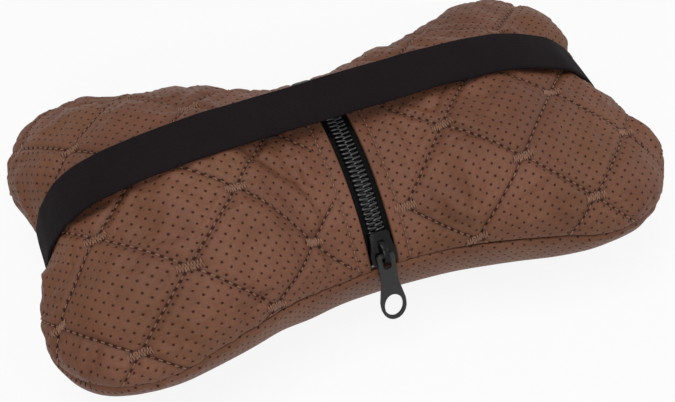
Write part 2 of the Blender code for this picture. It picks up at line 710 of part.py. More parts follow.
def pull_tab(finish):
    """The tab hangs on its bar in the bridge's eye, with an oval hole for a finger at its end."""
    end_half, neck_half = TAB_END / 2, TAB_NECK / 2
    hole_half = TAB_HOLE_LENGTH / 2
    margin = (TAB_END - TAB_HOLE_WIDTH) / 2
    hole_y = -TAB_LENGTH + TAB_BAR / 2 + margin + hole_half
    top = TAB_BAR / 2
    left = [(-end_half, hole_y + TAB_SHOULDER), (-neck_half, hole_y + hole_half + 2 * TAB_SHOULDER + margin),
            (-neck_half, top - TAB_CORNER), (-neck_half + TAB_CORNER, top)]
    right = [(-x, y) for x, y in left[::-1]]
    tip = [(end_half * math.cos(a), hole_y + (hole_half + margin) * math.sin(a))
           for a in np.linspace(0, -math.pi, 13)]
    outline = left + right + tip
    plate = prism(outline, -TAB_THICKNESS / 2, TAB_THICKNESS / 2)
    slot_half = BRIDGE_WIDTH / 2 + 2 * CLEARANCE
    slot_top, slot_end = -TAB_BAR / 2, -TAB_BAR / 2 - TAB_SLOT_LENGTH
    slot = [(-slot_half, slot_top), (slot_half, slot_top)]
    slot += [(slot_half * math.cos(a), slot_end + slot_half * math.sin(a) * 0.8)
             for a in np.linspace(0, -math.pi, 9)]
    hole = ellipse(hole_y, TAB_HOLE_WIDTH / 2, hole_half, 24)
    cuts = [prism(outline_cut, -TAB_THICKNESS, TAB_THICKNESS) for outline_cut in (slot, hole)]
    tab = joined("pull_tab", [plate], finish, cuts)
    pivot = on_zip(np.array(0.0), np.array(0.0), np.array(PIVOT_HEIGHT))
    turn = Matrix.Rotation(-SLIDER_ANGLE, 4, "X")
    offset = turn @ Matrix.Translation((0, PIVOT_RUN * MM, (pivot[2] - ZIP_CENTRE_Z) * MM))
    lean = Matrix.Rotation(math.radians(TAB_LEAN), 4, "X")
    tab.matrix_world = Matrix.Translation((0, WAIST_SHIFT * MM, ZIP_CENTRE_Z * MM)) @ offset @ lean
    return tab


def turns_left(a, b, c):
    return (b[0] - a[0]) * (c[1] - a[1]) - (b[1] - a[1]) * (c[0] - a[0]) >= 0


def strap_cloud(surfaces):
    """Points in X and Z of the part of the back that the strap covers, up to its two edges."""
    cloud = []
    for points, triangles in surfaces:
        near = np.abs(points[:, 1]) < STRAP_WIDTH / 2
        cloud.append(points[near][:, [0, 2]])
        net = np.array([tuple(face) for face in triangles])
        starts, ends = points[net.ravel()], points[np.roll(net, -1, 1).ravel()]
        for edge in (-STRAP_WIDTH / 2, STRAP_WIDTH / 2):
            crossing = (starts[:, 1] < edge) != (ends[:, 1] < edge)
            a, b = starts[crossing], ends[crossing]
            share = (edge - a[:, 1]) / (b[:, 1] - a[:, 1])
            cloud.append((a + (b - a) * share[:, None])[:, [0, 2]])
    return np.vstack(cloud)


def offset_line(line, distance):
    """A line moved aside to its left by a distance, with its corners kept sharp."""
    heading = np.diff(line, axis=0)
    heading /= np.linalg.norm(heading, axis=1, keepdims=True)
    into, out = np.vstack([heading[:1], heading]), np.vstack([heading, heading[-1:]])
    middle = into + out
    middle /= np.linalg.norm(middle, axis=1, keepdims=True)
    reach = distance / (middle * out).sum(1)
    return line + np.c_[-middle[:, 1], middle[:, 0]] * reach[:, None]


def taut_line(surfaces):
    """The strap's underside in X and Z from one end seam to the other, taut over the back."""
    cloud = strap_cloud(surfaces)
    foot = [sewn_end(side, 0.0)[-1, 2] + STRAP_THICKNESS for side in (-1, 1)]
    cloud = cloud[cloud[:, 1] > max(foot)]
    first, last = cloud[:, 0].min(), cloud[:, 0].max()
    hull = []
    for point in [(first, foot[0]), *sorted(map(tuple, cloud)), (last, foot[1])]:
        while len(hull) > 1 and turns_left(hull[-2], hull[-1], point):
            hull.pop()
        if not hull or math.dist(hull[-1], point) > 0.5:
            hull.append(point)
    return offset_line(np.array(hull), CLEARANCE + STRAP_EASE)


def sewn_end(side, y):
    """Points of the strap where it goes into the end seam, from its tip outward."""
    lip = np.interp(STRAP_WIDTH / 2, END_QUARTER[::-1, 1], END_QUARTER[::-1, 0])
    level = SEAM_HEIGHT + STRAP_THICKNESS / 2
    tuck = [(lip - SEAM_DIP - STRAP_TUCK, y, level), (lip + CLEARANCE, y, level)]
    return settled(np.array(tuck) * [side, 1, 1])


def elastic_strap(surfaces, finish):
    taut = taut_line(surfaces)
    corners = []
    for y in (-STRAP_WIDTH / 2, STRAP_WIDTH / 2):
        over_back = np.c_[taut[:, 0], 0 * taut[:, 0] + y, taut[:, 1]]
        under = np.vstack([sewn_end(-1, y), over_back, sewn_end(1, y)[::-1]])
        over = under.copy()
        over[:, [0, 2]] = offset_line(under[:, [0, 2]], STRAP_THICKNESS)
        corners += [under, over]
    near_under, near_over, far_under, far_over = corners
    return swept("elastic_strap", np.stack([near_under, far_under, far_over, near_over], 1), finish)


def build():
    leather = material("brown_perforated_leatherette", (0.155, 0.075, 0.048), 0.55)
    elastic = material("black_elastic", (0.016, 0.014, 0.015), 0.85)
    tape_cloth = material("black_zip_tape", (0.014, 0.014, 0.014), 0.8)
    nylon = material("black_nylon_coil", (0.012, 0.012, 0.013), 0.3)
    enamel = material("black_enamel", (0.02, 0.02, 0.02), 0.25, 0.6)
    fill = material("white_fibre", (0.75, 0.74, 0.71), 0.95)
    left, left_net = back_panel("back_panel_left", -1, QUILT_LEFT, leather)
    right, right_net = back_panel("back_panel_right", 1, QUILT_RIGHT, leather)
    front_panel(leather)
    inner_cushion(fill)
    zipper_tape("zipper_tape_left", -1, tape_cloth)
    zipper_tape("zipper_tape_right", 1, tape_cloth)
    zipper_coil("zipper_coil_left", -1, nylon)
    zipper_coil("zipper_coil_right", 1, nylon)
    zipper_slider(enamel)
    pull_tab(enamel)
    elastic_strap([(left, left_net), (right, right_net)], elastic)


build()
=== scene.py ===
"""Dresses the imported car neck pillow: its quilted, perforated leatherette cover with every stitch,
the coil zip with its slider and pull tab, and the elastic strap. Lengths are in metres.

X runs along the pillow, Y across it and Z up. The cover is worked out on the flat cloth: u runs
along the pillow from the zip, v across it, and sigma and tau are even shares of the two.
"""
import functools
import math

import bpy
import numpy as np
from mathutils import Matrix, Vector


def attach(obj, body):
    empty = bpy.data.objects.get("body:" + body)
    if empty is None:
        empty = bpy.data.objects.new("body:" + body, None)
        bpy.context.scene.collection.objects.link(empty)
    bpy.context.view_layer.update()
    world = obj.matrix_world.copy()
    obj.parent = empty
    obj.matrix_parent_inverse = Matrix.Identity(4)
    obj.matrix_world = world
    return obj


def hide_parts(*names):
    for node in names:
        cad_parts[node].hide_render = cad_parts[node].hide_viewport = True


bl_info = {
    "name": "Quilted neck pillow",
    "version": (1, 0, 0),
    "blender": (4, 5, 0),
    "location": "View3D > Sidebar > Neck pillow",
    "description": "Builds the cover, stitches, zip and strap of a quilted car neck pillow around its model",
    "category": "Object",
}

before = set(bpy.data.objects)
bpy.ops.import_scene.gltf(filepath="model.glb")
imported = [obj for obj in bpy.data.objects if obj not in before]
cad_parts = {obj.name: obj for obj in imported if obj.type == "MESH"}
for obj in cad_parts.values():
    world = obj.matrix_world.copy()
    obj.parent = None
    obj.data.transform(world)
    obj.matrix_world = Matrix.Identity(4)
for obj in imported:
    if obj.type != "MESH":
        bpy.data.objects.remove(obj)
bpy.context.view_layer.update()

MM = 0.001

# The pillow's plan and height, the same as its model's
HALF_LENGTH = 145.0 * MM
HALF_WIDTH = 84.0 * MM
LOBE_RADIUS = 38.0 * MM
HALF_WAIST = 60.0 * MM
HALF_NOTCH = 137.0 * MM
SEAM_HEIGHT = 45.5 * MM
WAIST_RISE, LOBE_RISE = 38.0 * MM, 45.0 * MM
WAIST_DROP, LOBE_DROP = 53.0 * MM, 56.0 * MM
DOME_ACROSS, DOME_ALONG = 1.8, 3.7
LOBE_START = 0.73
SEAM_DEPTH, SEAM_REACH = 1.3 * MM, 1.5 * MM

# How the stuffing has settled, in mm: moves of the waist, and of each part of a lobe in X, Y and Z
# on the near and the far half of the pillow
WAIST_SETTLED = (0.0, -5.0, 0.0)
LOBE_SETTLED = {
    -1: ((-2.2, 5.5, -7.0), (-1.0, 0.5, -3.0)),
    1: ((1.5, 0.5, -5.5), (-1.0, -7.0, -7.0)),
}
FLANK_SETTLED = {
    -1: ((5.5, -3.0, 4.5), (-1.0, -1.0, 0.5)),
    1: ((-1.5, -7.0, 6.0), (-1.0, -7.0, -6.5)),
}
LOBE_PLACE, FLANK_PLACE, CALM_PLACE, SETTLED_WIDTH = 124.7 * MM, 59.45 * MM, 16.6 * MM, 45.36 * MM

# The cloth simulation: every how many points it works on, how long, and how far it may move a point
SIM_STEP, SIM_FRAMES, SIM_CAP = 2, 16, 1.8 * MM

# The opening for the zip and the folded edges beside it
HALF_OPENING = 6.1 * MM
PLACKET_WIDTH, PLACKET_EASE, PLACKET_BLEND = 9.0 * MM, 0.3 * MM, 34.0 * MM
PLACKET_STITCH = 6.0 * MM
QUILT_START = 14.5 * MM
WALL = 3.0 * MM
SHELL_WALL = WALL * 0.9
FOLD_RADIUS = 1.3 * MM

# The quilting: squares on their corners, with one crossing at each origin
HALF_DIAGONAL = 28.0 * MM
QUILT_EDGE = HALF_DIAGONAL * math.sqrt(2)
QUILT_LEFT = (30.0 * MM, -54.0 * MM)
QUILT_RIGHT = (15.0 * MM, -50.0 * MM)
QUILT_REACH = 12

# The cloth's small forms, each as how wide and how high it is
CHANNEL_WIDTH = 1.9 * MM
PULL_WIDTH, PULL_HEIGHT = 3.0 * MM, 0.16 * MM
RAY_WIDTH, RAY_HEIGHT, RAY_PLACE = 6.0 * MM, 0.35 * MM, 7.0 * MM
DIMPLE_WIDTH, DIMPLE_HEIGHT = 5.0 * MM, 0.5 * MM
PUCKER_WIDTH, PUCKER_HEIGHT, PUCKER_START = 9.0 * MM, 0.45 * MM, 2.5 * MM
SWELL_WIDTH, SWELL_HEIGHT = 38.0 * MM, 0.7 * MM
EDGE_WIDTH, EDGE_HEIGHT = 1.3 * MM, 0.35 * MM
TOPSTITCH_WIDTH, TOPSTITCH_HEIGHT = 0.9 * MM, 0.95 * MM

# The threads of the stitches and of the tack bars
STITCH_RADIUS, TACK_RADIUS = 0.25 * MM, 0.22 * MM

# How near the seam, the placket and the floor the cloth lies calm
SEAM_CALM, PLACKET_CALM, FLOOR_CALM = 13.0 * MM, 6.0 * MM, 9.0 * MM

# The zip, measured on the top face of its tape
ZIP_RADIUS = (HALF_WAIST**2 + WAIST_RISE**2) / (2 * WAIST_RISE)
ZIP_CENTRE_Z = SEAM_HEIGHT + WAIST_RISE - ZIP_RADIUS
TAPE_GAP, TAPE_OVER_SEAM, SLIDER_FROM_END = 0.3 * MM, 0.6 * MM, 8.4 * MM
TAPE_RADIUS = ZIP_RADIUS - WALL - TAPE_GAP
TAPE_END = math.acos((SEAM_HEIGHT + TAPE_OVER_SEAM - ZIP_CENTRE_Z) / TAPE_RADIUS) * TAPE_RADIUS
SLIDER_RUN = SLIDER_FROM_END - TAPE_END

# The middle of the coil's wire: across the zip and above the tape, and how far the slider parts it
COIL_HEAD, COIL_BACK = 0.32 * MM, -3.52 * MM
COIL_LOW, COIL_HIGH = 0.78 * MM, 2.52 * MM
COIL_SQUARENESS, COIL_STEPS, COIL_SIDES = 0.55, 22, 8
COIL_TRIM = 2.0 * MM
COIL_APART, PARTING_START, PARTING_LENGTH = 1.35 * MM, 3.75 * MM, 9.0 * MM

STRAP_WIDTH = 25.0 * MM
STRAP_THICKNESS = 1.5 * MM

# Where the strap's top runs over the back, in mm along the pillow and above the floor
STRAP_RUN = [
    (-137, 55), (-129, 69), (-124, 75), (-114, 82), (-102, 86), (-87, 89.5), (-75, 91), (-57, 92.5),
    (-30, 92.8), (0, 92.9), (26, 92.8), (50, 92.2), (72, 90.5), (88, 88.2), (102, 84), (117, 77),
    (128, 66), (135, 53),
]

# The strap's right end, tucked into its seam, in mm and from inside the cover outward
STRAP_TAIL = [(130.0, 0.0, 46.3), (133.0, 0.0, 46.3), (136.5, 0.0, 46.6)]

# How the strap presses the cover: how far in, how steeply it rises beside it, and how it curves up
PRESS_DEPTH, PRESS_SLOPE = 0.35 * MM, 0.55
PRESS_CURVE_WIDTH, PRESS_CURVE_HEIGHT = 9.0 * MM, 4.0 * MM
DRIFT_ANGLE = 0.55

# The panels' grids: rows at the fold beside the zip, as shares of the panel, then even rows and columns
FOLD_ROWS = np.array([0, 0.25, 0.5, 0.8, 1.15, 1.6, 2.2, 3.0]) / 155
HALF_ROWS, BACK_COLUMNS = 116, 171
FRONT_ROWS, FRONT_COLUMNS = 181, 121

# Rounds of the search for a place on the cloth, and how near it has to come
SEARCH_ROUNDS, FOUND_WITHIN = 50, 0.4 * MM

# How many waves a wobble adds up, and what brings their sum to about one
WAVES, WAVE_SUM = 7, 3.2

# The least length that still has a direction
TINY = 1e-12


def smooth_step(x):
    x = np.clip(x, 0.0, 1.0)
    return x * x * (3 - 2 * x)


def bell(x, width):
    """One where x is nothing, falling off within about width of it."""
    return np.exp(-((x / width) ** 2))


def between(first, second, share):
    return first * (1 - share) + second * share


def off_whole(number):
    return number - np.round(number)


def unit(vectors):
    return vectors / np.maximum(np.linalg.norm(vectors, axis=-1, keepdims=True), TINY)


def wobble(x, y, size, seed):
    """A smooth, uneven swing between about -1 and 1, with swells about as wide as size."""
    draw = np.random.default_rng(seed)
    total = np.zeros(np.broadcast(x, y).shape)
    for _ in range(WAVES):
        heading = draw.uniform(0, 2 * math.pi)
        rate = 2 * math.pi / (size * draw.uniform(0.7, 1.6))
        total = total + np.sin(rate * (x * math.cos(heading) + y * math.sin(heading)) + draw.uniform(0, 6.28))
    return total / WAVE_SUM


def run_lengths(points):
    """How far along a line each of its points is."""
    return np.r_[0, np.cumsum(np.linalg.norm(np.diff(points, axis=0), axis=1))]


def along(points, share):
    """Points on a line at shares of its length."""
    steps = run_lengths(points)
    at = np.clip(share, 0, 1) * steps[-1]
    return np.stack([np.interp(at, steps, part) for part in points.T], -1)


def eased(points, count):
    """Round a line off, each point over an odd count of its neighbours."""
    kernel = np.hanning(count)
    kernel /= kernel.sum()
    wide = np.pad(points, ((count // 2, count // 2), (0, 0)), "reflect", reflect_type="odd")
    return np.stack([np.convolve(part, kernel, "valid") for part in wide.T], -1)


# The cover's form

def arc(centre, radius, start, end, count):
    angle = np.linspace(start, end, count)
    return np.c_[centre[0] + radius * np.cos(angle), centre[1] + radius * np.sin(angle)]


def heading(start, end):
    return math.atan2(end[1] - start[1], end[0] - start[0])


def outline_quarter():
    """The plan's quarter in +X +Y: the waist and half the lobe, then half the lobe and the notch."""
    lobe = np.array([HALF_LENGTH - LOBE_RADIUS, HALF_WIDTH - LOBE_RADIUS])
    rise, run = lobe[1] - HALF_WAIST, lobe[0] - HALF_NOTCH
    waist_radius = (lobe[0] ** 2 + rise**2 - LOBE_RADIUS**2) / (2 * (HALF_WIDTH - HALF_WAIST))
    notch_radius = (run**2 + lobe[1] ** 2 - LOBE_RADIUS**2) / (2 * (HALF_LENGTH - HALF_NOTCH))
    waist, notch = (0.0, HALF_WAIST + waist_radius), (HALF_NOTCH + notch_radius, 0.0)
    corner = math.radians(45)
    side = np.vstack([
        arc(waist, waist_radius, -math.pi / 2, heading(waist, lobe), 90),
        arc(lobe, LOBE_RADIUS, heading(lobe, waist), corner, 60)[1:],
    ])
    end = np.vstack([
        arc(lobe, LOBE_RADIUS, corner, heading(lobe, notch), 60),
        arc(notch, notch_radius, heading(notch, lobe) % (2 * math.pi), math.pi, 90)[1:],
    ])
    return side, end


SIDE_QUARTER, END_QUARTER = outline_quarter()


def side_of(x):
    return np.where(x < 0, -1.0, 1.0)


def side_edge(s):
    return along(SIDE_QUARTER, np.abs(s)) * np.stack([side_of(s), np.ones_like(s)], -1)


def end_edge(t):
    return along(END_QUARTER, 1 - np.abs(t)) * np.stack([np.ones_like(t), side_of(t)], -1)


def plan(s, t):
    """Blend the outline's four edges into points of the plan."""
    far, right = side_edge(s), end_edge(t)
    near, left = far * [1, -1], right * [-1, 1]
    u, v = ((s + 1) / 2)[..., None], ((t + 1) / 2)[..., None]
    flat = (1 - v) * near + v * far + (1 - u) * left + u * right
    return flat - SIDE_QUARTER[-1] * np.concatenate([2 * u - 1, 2 * v - 1], -1)


def dome(s, t, waist, lobe):
    height = waist + (lobe - waist) * smooth_step(np.abs(s) / LOBE_START)
    across = np.sqrt(np.clip(1 - np.abs(t) ** DOME_ACROSS, 0, None))
    lengthwise = np.sqrt(np.clip(1 - np.abs(s) ** DOME_ALONG, 0, None))
    return height * across * lengthwise


def back_point(s, t):
    """The right half of the back, with its columns moved aside for the zip's opening."""
    flat = plan(s, t)
    aside = (1 - np.abs(s)) ** 3
    x, y = flat[..., 0] + HALF_OPENING * aside, flat[..., 1]
    across = y * HALF_WAIST / side_edge(s)[..., 1]
    ridge = np.sqrt(np.clip(ZIP_RADIUS**2 - across**2, 0, None)) + ZIP_CENTRE_Z - SEAM_HEIGHT
    beside = np.abs(x) - HALF_OPENING - PLACKET_WIDTH - PLACKET_EASE
    share = 1 - smooth_step(beside / PLACKET_BLEND)
    rise = dome(np.clip(s + HALF_OPENING / HALF_LENGTH * aside, -1, 1), t, WAIST_RISE, LOBE_RISE)
    return np.stack([x, y, SEAM_HEIGHT + between(rise, np.clip(ridge, 0, None), share)], -1)


def front_point(s, t):
    """The front, pressed flat where the pillow lies on it."""
    flat = plan(s, t)
    height = SEAM_HEIGHT - dome(s, t, WAIST_DROP, LOBE_DROP)
    return np.stack([flat[..., 0], flat[..., 1], np.clip(height, 0, None)], -1)


def settled(points):
    """Move points of the pillow as its stuffing lies in it, and by one and the same step near the zip."""
    points = np.asarray(points, float)
    x, y, z = np.moveaxis(points, -1, 0)
    places = np.array([-LOBE_PLACE, -FLANK_PLACE, -CALM_PLACE, CALM_PLACE, FLANK_PLACE, LOBE_PLACE])
    waist = (WAIST_SETTLED, WAIST_SETTLED)
    left, right = (LOBE_SETTLED[-1], FLANK_SETTLED[-1]), (FLANK_SETTLED[1], LOBE_SETTLED[1])
    moves = np.array([*left, waist, waist, *right]) * MM
    index = np.clip(np.searchsorted(places, x) - 1, 0, len(places) - 2)
    share = smooth_step((x - places[index]) / (places[index + 1] - places[index]))[..., None, None]
    both = between(moves[index], moves[index + 1], share)
    far = smooth_step(0.5 + y / (2 * SETTLED_WIDTH))[..., None]
    move = between(both[..., 0, :], both[..., 1, :], far)
    move[..., 2] *= z / (SEAM_HEIGHT + LOBE_RISE)
    return points + move


def seam_end(side):
    """Where the seam's notch lies at one end of the pillow."""
    return settled([(side * HALF_NOTCH, 0.0, SEAM_HEIGHT)])[0]


def spread(share):
    """Turn an even share from -1 to 1 into one that crowds where the form turns down to its seam."""
    return np.sin(share * math.pi / 2)


class Cloth:
    """One quilted panel as a fine grid of points, with its lengths along the cloth."""

    def __init__(self, point, rows, columns, up, side, origin):
        self.rows, self.columns = rows, columns
        self.up, self.side, self.origin = up, side, origin
        self.half = rows[0] >= 0
        sigma, tau = np.meshgrid(rows, columns, indexing="ij")
        self.base = point(spread(sigma), spread(tau)) * [side, 1, 1]
        self.u = self.lengths(0, 0 if self.half else len(rows) // 2) + (HALF_OPENING if self.half else 0)
        self.v = self.lengths(1, len(columns) // 2)
        self.normal = self.normals(self.base)
        self.rim = self.rim_distance()
        self.points = self.base.copy()

    def lengths(self, axis, middle):
        steps = np.linalg.norm(np.diff(self.base, axis=axis), axis=-1)
        total = np.insert(np.cumsum(steps, axis), 0, 0, axis)
        return total - np.take(total, [middle], axis)

    def normals(self, points):
        normal = np.cross(np.gradient(points, axis=0), np.gradient(points, axis=1)) * self.up * self.side
        outward = unit((points - [0, 0, SEAM_HEIGHT]) * [1, 1, 0])
        return np.where(np.linalg.norm(normal, axis=-1, keepdims=True) > TINY, unit(normal), outward)

    def rim_distance(self):
        """How far each point is from the seam, along the cloth."""
        ends = self.u[-1:] - self.u
        if not self.half:
            ends = np.minimum(ends, self.u - self.u[:1])
        return np.minimum(ends, np.minimum(self.v[:, -1:] - self.v, self.v - self.v[:, :1]))

    def kept(self, points):
        """Keep points on the panel's side of the seam's level, and off the floor."""
        height = np.maximum(self.up * (points[..., 2] - SEAM_HEIGHT), 0)
        points[..., 2] = np.maximum(SEAM_HEIGHT + self.up * height, 0)
        return points

    def look(self, table, sigma, tau):
        """What a table with a value for each point of the grid holds at shares of the panel."""
        row = np.interp(sigma, self.rows, np.arange(len(self.rows)))
        column = np.interp(tau, self.columns, np.arange(len(self.columns)))
        i = np.clip(row.astype(int), 0, len(self.rows) - 2)
        j = np.clip(column.astype(int), 0, len(self.columns) - 2)
        a, b = row - i, column - j
        if table.ndim > 2:
            a, b = a[..., None], b[..., None]
        low, high = (between(table[k, j], table[k, j + 1], b) for k in (i, i + 1))
        return between(low, high, a)

    def shares(self, u, v):
        """The shares under points of the cloth, found step by step, and which of them are on the panel."""
        sigma, tau = np.zeros_like(u), np.zeros_like(v)
        for _ in range(SEARCH_ROUNDS):
            off_u = u - self.look(self.u, sigma, tau)
            off_v = v - self.look(self.v, sigma, tau)
            sigma = np.clip(sigma + off_u / self.u.max(), self.rows[0], 1)
            tau = np.clip(tau + off_v / self.v.max(), -1, 1)
        off = np.hypot(u - self.look(self.u, sigma, tau), v - self.look(self.v, sigma, tau))
        return sigma, tau, off < FOUND_WITHIN

    def on(self, u, v):
        """Points, normals and rim distances of the panel under points of the cloth, and which it holds."""
        sigma, tau, held = self.shares(u, v)
        normal = unit(self.look(self.outer_normal, sigma, tau))
        return self.look(self.points, sigma, tau), normal, self.look(self.rim, sigma, tau), held

    def squares(self):
        """The quilting's two numbers at each point: whole ones are on its stitch lines."""
        du, dv = self.u - self.origin[0], self.v - self.origin[1]
        return (du + dv) / (2 * HALF_DIAGONAL), (du - dv) / (2 * HALF_DIAGONAL)


def quilted(cloth, puff, channel, stitch):
    """Raise the squares of the quilting and sink the channels and crossings between them."""
    a, b = cloth.squares()
    square = (1 - (2 * (a % 1) - 1) ** 2) * (1 - (2 * (b % 1) - 1) ** 2)
    from_a, from_b = np.abs(off_whole(a)) * QUILT_EDGE, np.abs(off_whole(b)) * QUILT_EDGE
    ditch = np.exp(-from_a / CHANNEL_WIDTH) + np.exp(-from_b / CHANNEL_WIDTH)
    swell = puff * square**0.6 - channel * np.minimum(ditch, 1.0)
    pull = np.exp(-from_a / PULL_WIDTH) * np.cos(2 * math.pi * b * QUILT_EDGE / stitch)
    pull = pull + np.exp(-from_b / PULL_WIDTH) * np.cos(2 * math.pi * a * QUILT_EDGE / stitch)
    crossing = np.hypot(from_a, from_b)
    turn = np.arctan2(off_whole(b), off_whole(a))
    rays = bell(crossing - RAY_PLACE, RAY_WIDTH) * np.cos(5 * turn + 7 * np.round(a) + 3 * np.round(b))
    return swell + PULL_HEIGHT * pull + RAY_HEIGHT * rays - DIMPLE_HEIGHT * bell(crossing, DIMPLE_WIDTH)


# Creases in the cloth: the panel, two ends on the cloth, how wide and how deep
CREASES = [
    ("left", (47, -8), (22, -33), 5.0, 2.2),
    ("left", (30, -14), (19, -46), 4.0, 1.2),
    ("left", (128, -70), (140, -88), 4.0, 1.6),
    ("left", (75, -86), (58, -72), 3.5, 1.4),
    ("right", (134, -44), (144, -60), 4.0, 1.4),
    ("right", (30, -62), (44, -70), 3.5, 1.2),
    ("right", (72, 22), (60, 46), 5.0, 1.3),
    ("left", (64, 30), (50, 58), 5.0, 1.4),
]
CREASE_EVEN, CREASE_FADE = 0.28, 0.4
CREASE_LIP, CREASE_LIP_PLACE, CREASE_SHARPNESS = 0.55, 1.25, 1.6


def creased(cloth, name):
    """The height of the creases of one panel."""
    total = np.zeros(cloth.u.shape)
    for start, end, width, depth in (crease[1:] for crease in CREASES if crease[0] == name):
        start, run = np.array(start) * MM, (np.array(end) - start) * MM
        whole = np.linalg.norm(run)
        du, dv = cloth.u - start[0], cloth.v - start[1]
        at = (du * run[0] + dv * run[1]) / whole
        fold = (dv * run[0] - du * run[1]) / whole / (width * MM)
        fade = smooth_step(1 - np.maximum(np.abs(at / whole - 0.5) - CREASE_EVEN, 0) / CREASE_FADE)
        valley = np.exp(-(fold**2) * CREASE_SHARPNESS)
        total += depth * MM * fade * (CREASE_LIP * bell(fold - CREASE_LIP_PLACE, 1) - valley)
    return total


# How wide the cloth is held at its stitch lines, seam and zip, and the cloth's settings
LINE_HOLD, SEAM_HOLD, ZIP_HOLD = 1.5 * MM, 7.0 * MM, 9.0 * MM
SLACK = {
    "quality": 5, "mass": 0.3, "air_damping": 2.0, "tension_stiffness": 15.0, "compression_stiffness": 15.0,
    "shear_stiffness": 5.0, "bending_stiffness": 0.4, "use_pressure": True, "uniform_pressure_force": 3.0,
    "shrink_min": -0.035, "shrink_max": -0.035, "vertex_group_mass": "held", "pin_stiffness": 20.0,
}


def finer(table, count):
    """Put back the rows that the simulation leaves out."""
    at = np.minimum(np.arange(count) / SIM_STEP, len(table) - 1)
    low = np.minimum(at.astype(int), len(table) - 2)
    return between(table[low], table[low + 1], (at - low)[:, None, None])


def relaxed(cloth):
    """Let the cloth, cut a little large, swell and fold between its stitch lines: a cloth simulation."""
    grid, u, rim, a, b = (
        table[::SIM_STEP, ::SIM_STEP] for table in (cloth.points, cloth.u, cloth.rim, *cloth.squares())
    )
    from_line = np.minimum(np.abs(off_whole(a)), np.abs(off_whole(b))) * QUILT_EDGE
    held = np.maximum(bell(from_line, LINE_HOLD), 1 - smooth_step(rim / SEAM_HOLD - 0.3))
    held = np.maximum(held, 1 - smooth_step((u - QUILT_START) / ZIP_HOLD))
    piece = new_piece("slack_cloth", grid.reshape(-1, 3), grid_faces(*u.shape, 0, cloth.side < 0), None)
    group = piece.vertex_groups.new(name="held")
    for index, weight in enumerate(held.ravel().tolist()):
        group.add([index], weight, "REPLACE")
    slack = piece.modifiers.new("slack", "CLOTH")
    for key, value in SLACK.items():
        setattr(slack.settings, key, value)
    slack.settings.effector_weights.gravity = 0.0
    slack.point_cache.frame_start, slack.point_cache.frame_end = 1, SIM_FRAMES
    scene = bpy.context.scene
    for number in range(1, SIM_FRAMES + 1):
        scene.frame_set(number)
    moved = np.zeros(grid.size, np.float32)
    piece.evaluated_get(bpy.context.evaluated_depsgraph_get()).data.vertices.foreach_get("co", moved)
    bpy.data.objects.remove(piece)
    scene.frame_set(1)
    move = moved.reshape(grid.shape) - grid
    far = np.linalg.norm(move, axis=-1, keepdims=True)
    move = finer(move * np.minimum(1, SIM_CAP / np.maximum(far, TINY)), len(cloth.rows))
    return cloth.points + finer(move.swapaxes(0, 1), len(cloth.columns)).swapaxes(0, 1)


# Meshes

def new_piece(name, points, faces, finish, maps=None, sharp=None):
    """A smooth mesh object from points and faces; maps holds a pair of numbers a point for each UV map."""
    mesh = bpy.data.meshes.new(name)
    mesh.from_pydata(points.tolist(), [], faces if isinstance(faces, list) else faces.tolist())
    mesh.shade_smooth()
    if sharp is not None:
        mesh.set_sharp_from_angle(angle=sharp)
    corners = np.zeros(len(mesh.loops), np.int32)
    mesh.loops.foreach_get("vertex_index", corners)
    for key, pairs in (maps or {}).items():
        layer = mesh.uv_layers.new(name=key)
        layer.data.foreach_set("uv", np.asarray(pairs, np.float32).reshape(-1, 2)[corners].ravel())
    mesh.materials.append(finish)
    piece = bpy.data.objects.new(name, mesh)
    bpy.context.scene.collection.objects.link(piece)
    return piece


def grid_faces(rows, columns, start=0, turned=False):
    index = start + np.arange(rows * columns).reshape(rows, columns)
    quads = np.stack([index[:-1, :-1], index[1:, :-1], index[1:, 1:], index[:-1, 1:]], -1).reshape(-1, 4)
    return quads[:, ::-1] if turned else quads


def rim_loop(rows, columns):
    """The numbers of a grid's outer points, in order round it."""
    index = np.arange(rows * columns).reshape(rows, columns)
    return np.concatenate([index[:, 0], index[-1, 1:], index[-2::-1, -1], index[0, -2:0:-1]])


def shell_piece(name, outer, inner, maps, finish, turned):
    """A closed shell from two grids of points, joined round their rims."""
    rows, columns = outer.shape[:2]
    count = rows * columns
    ring = rim_loop(rows, columns)
    walls = np.stack([ring, np.roll(ring, -1), np.roll(ring, -1) + count, ring + count], -1)
    faces = np.vstack([
        grid_faces(rows, columns, 0, turned),
        grid_faces(rows, columns, count, not turned),
        walls if turned else walls[:, ::-1],
    ])
    points = np.vstack([outer.reshape(-1, 3), inner.reshape(-1, 3)])
    both = {key: np.vstack([pairs.reshape(-1, 2)] * 2) for key, pairs in maps.items()}
    return new_piece(name, points, faces, finish, both)


def ringed(path, first, second, radius, sides):
    """Rings of points round a path, in the plane of two directions."""
    turn = np.linspace(0, 2 * math.pi, sides, endpoint=False)[:, None]
    around = np.cos(turn) * first[..., None, :] + np.sin(turn) * second[..., None, :]
    return path[..., None, :] + around * radius


def swept_piece(name, rings, finish, maps=None, sharp=math.radians(50)):
    """Closed tubes or bars through rings of points: one, or a row of them."""
    index = np.arange(rings[..., 0].size).reshape(rings.shape[:-1])
    ahead = np.roll(index, -1, -1)
    round_it = [index[..., :-1, :], ahead[..., :-1, :], ahead[..., 1:, :], index[..., 1:, :]]
    quads = np.stack(round_it, -1).reshape(-1, 4)
    caps = np.concatenate([index[..., 0, ::-1], index[..., -1, :]]).reshape(-1, index.shape[-1])
    return new_piece(name, rings.reshape(-1, 3), quads.tolist() + caps.tolist(), finish, maps, sharp)


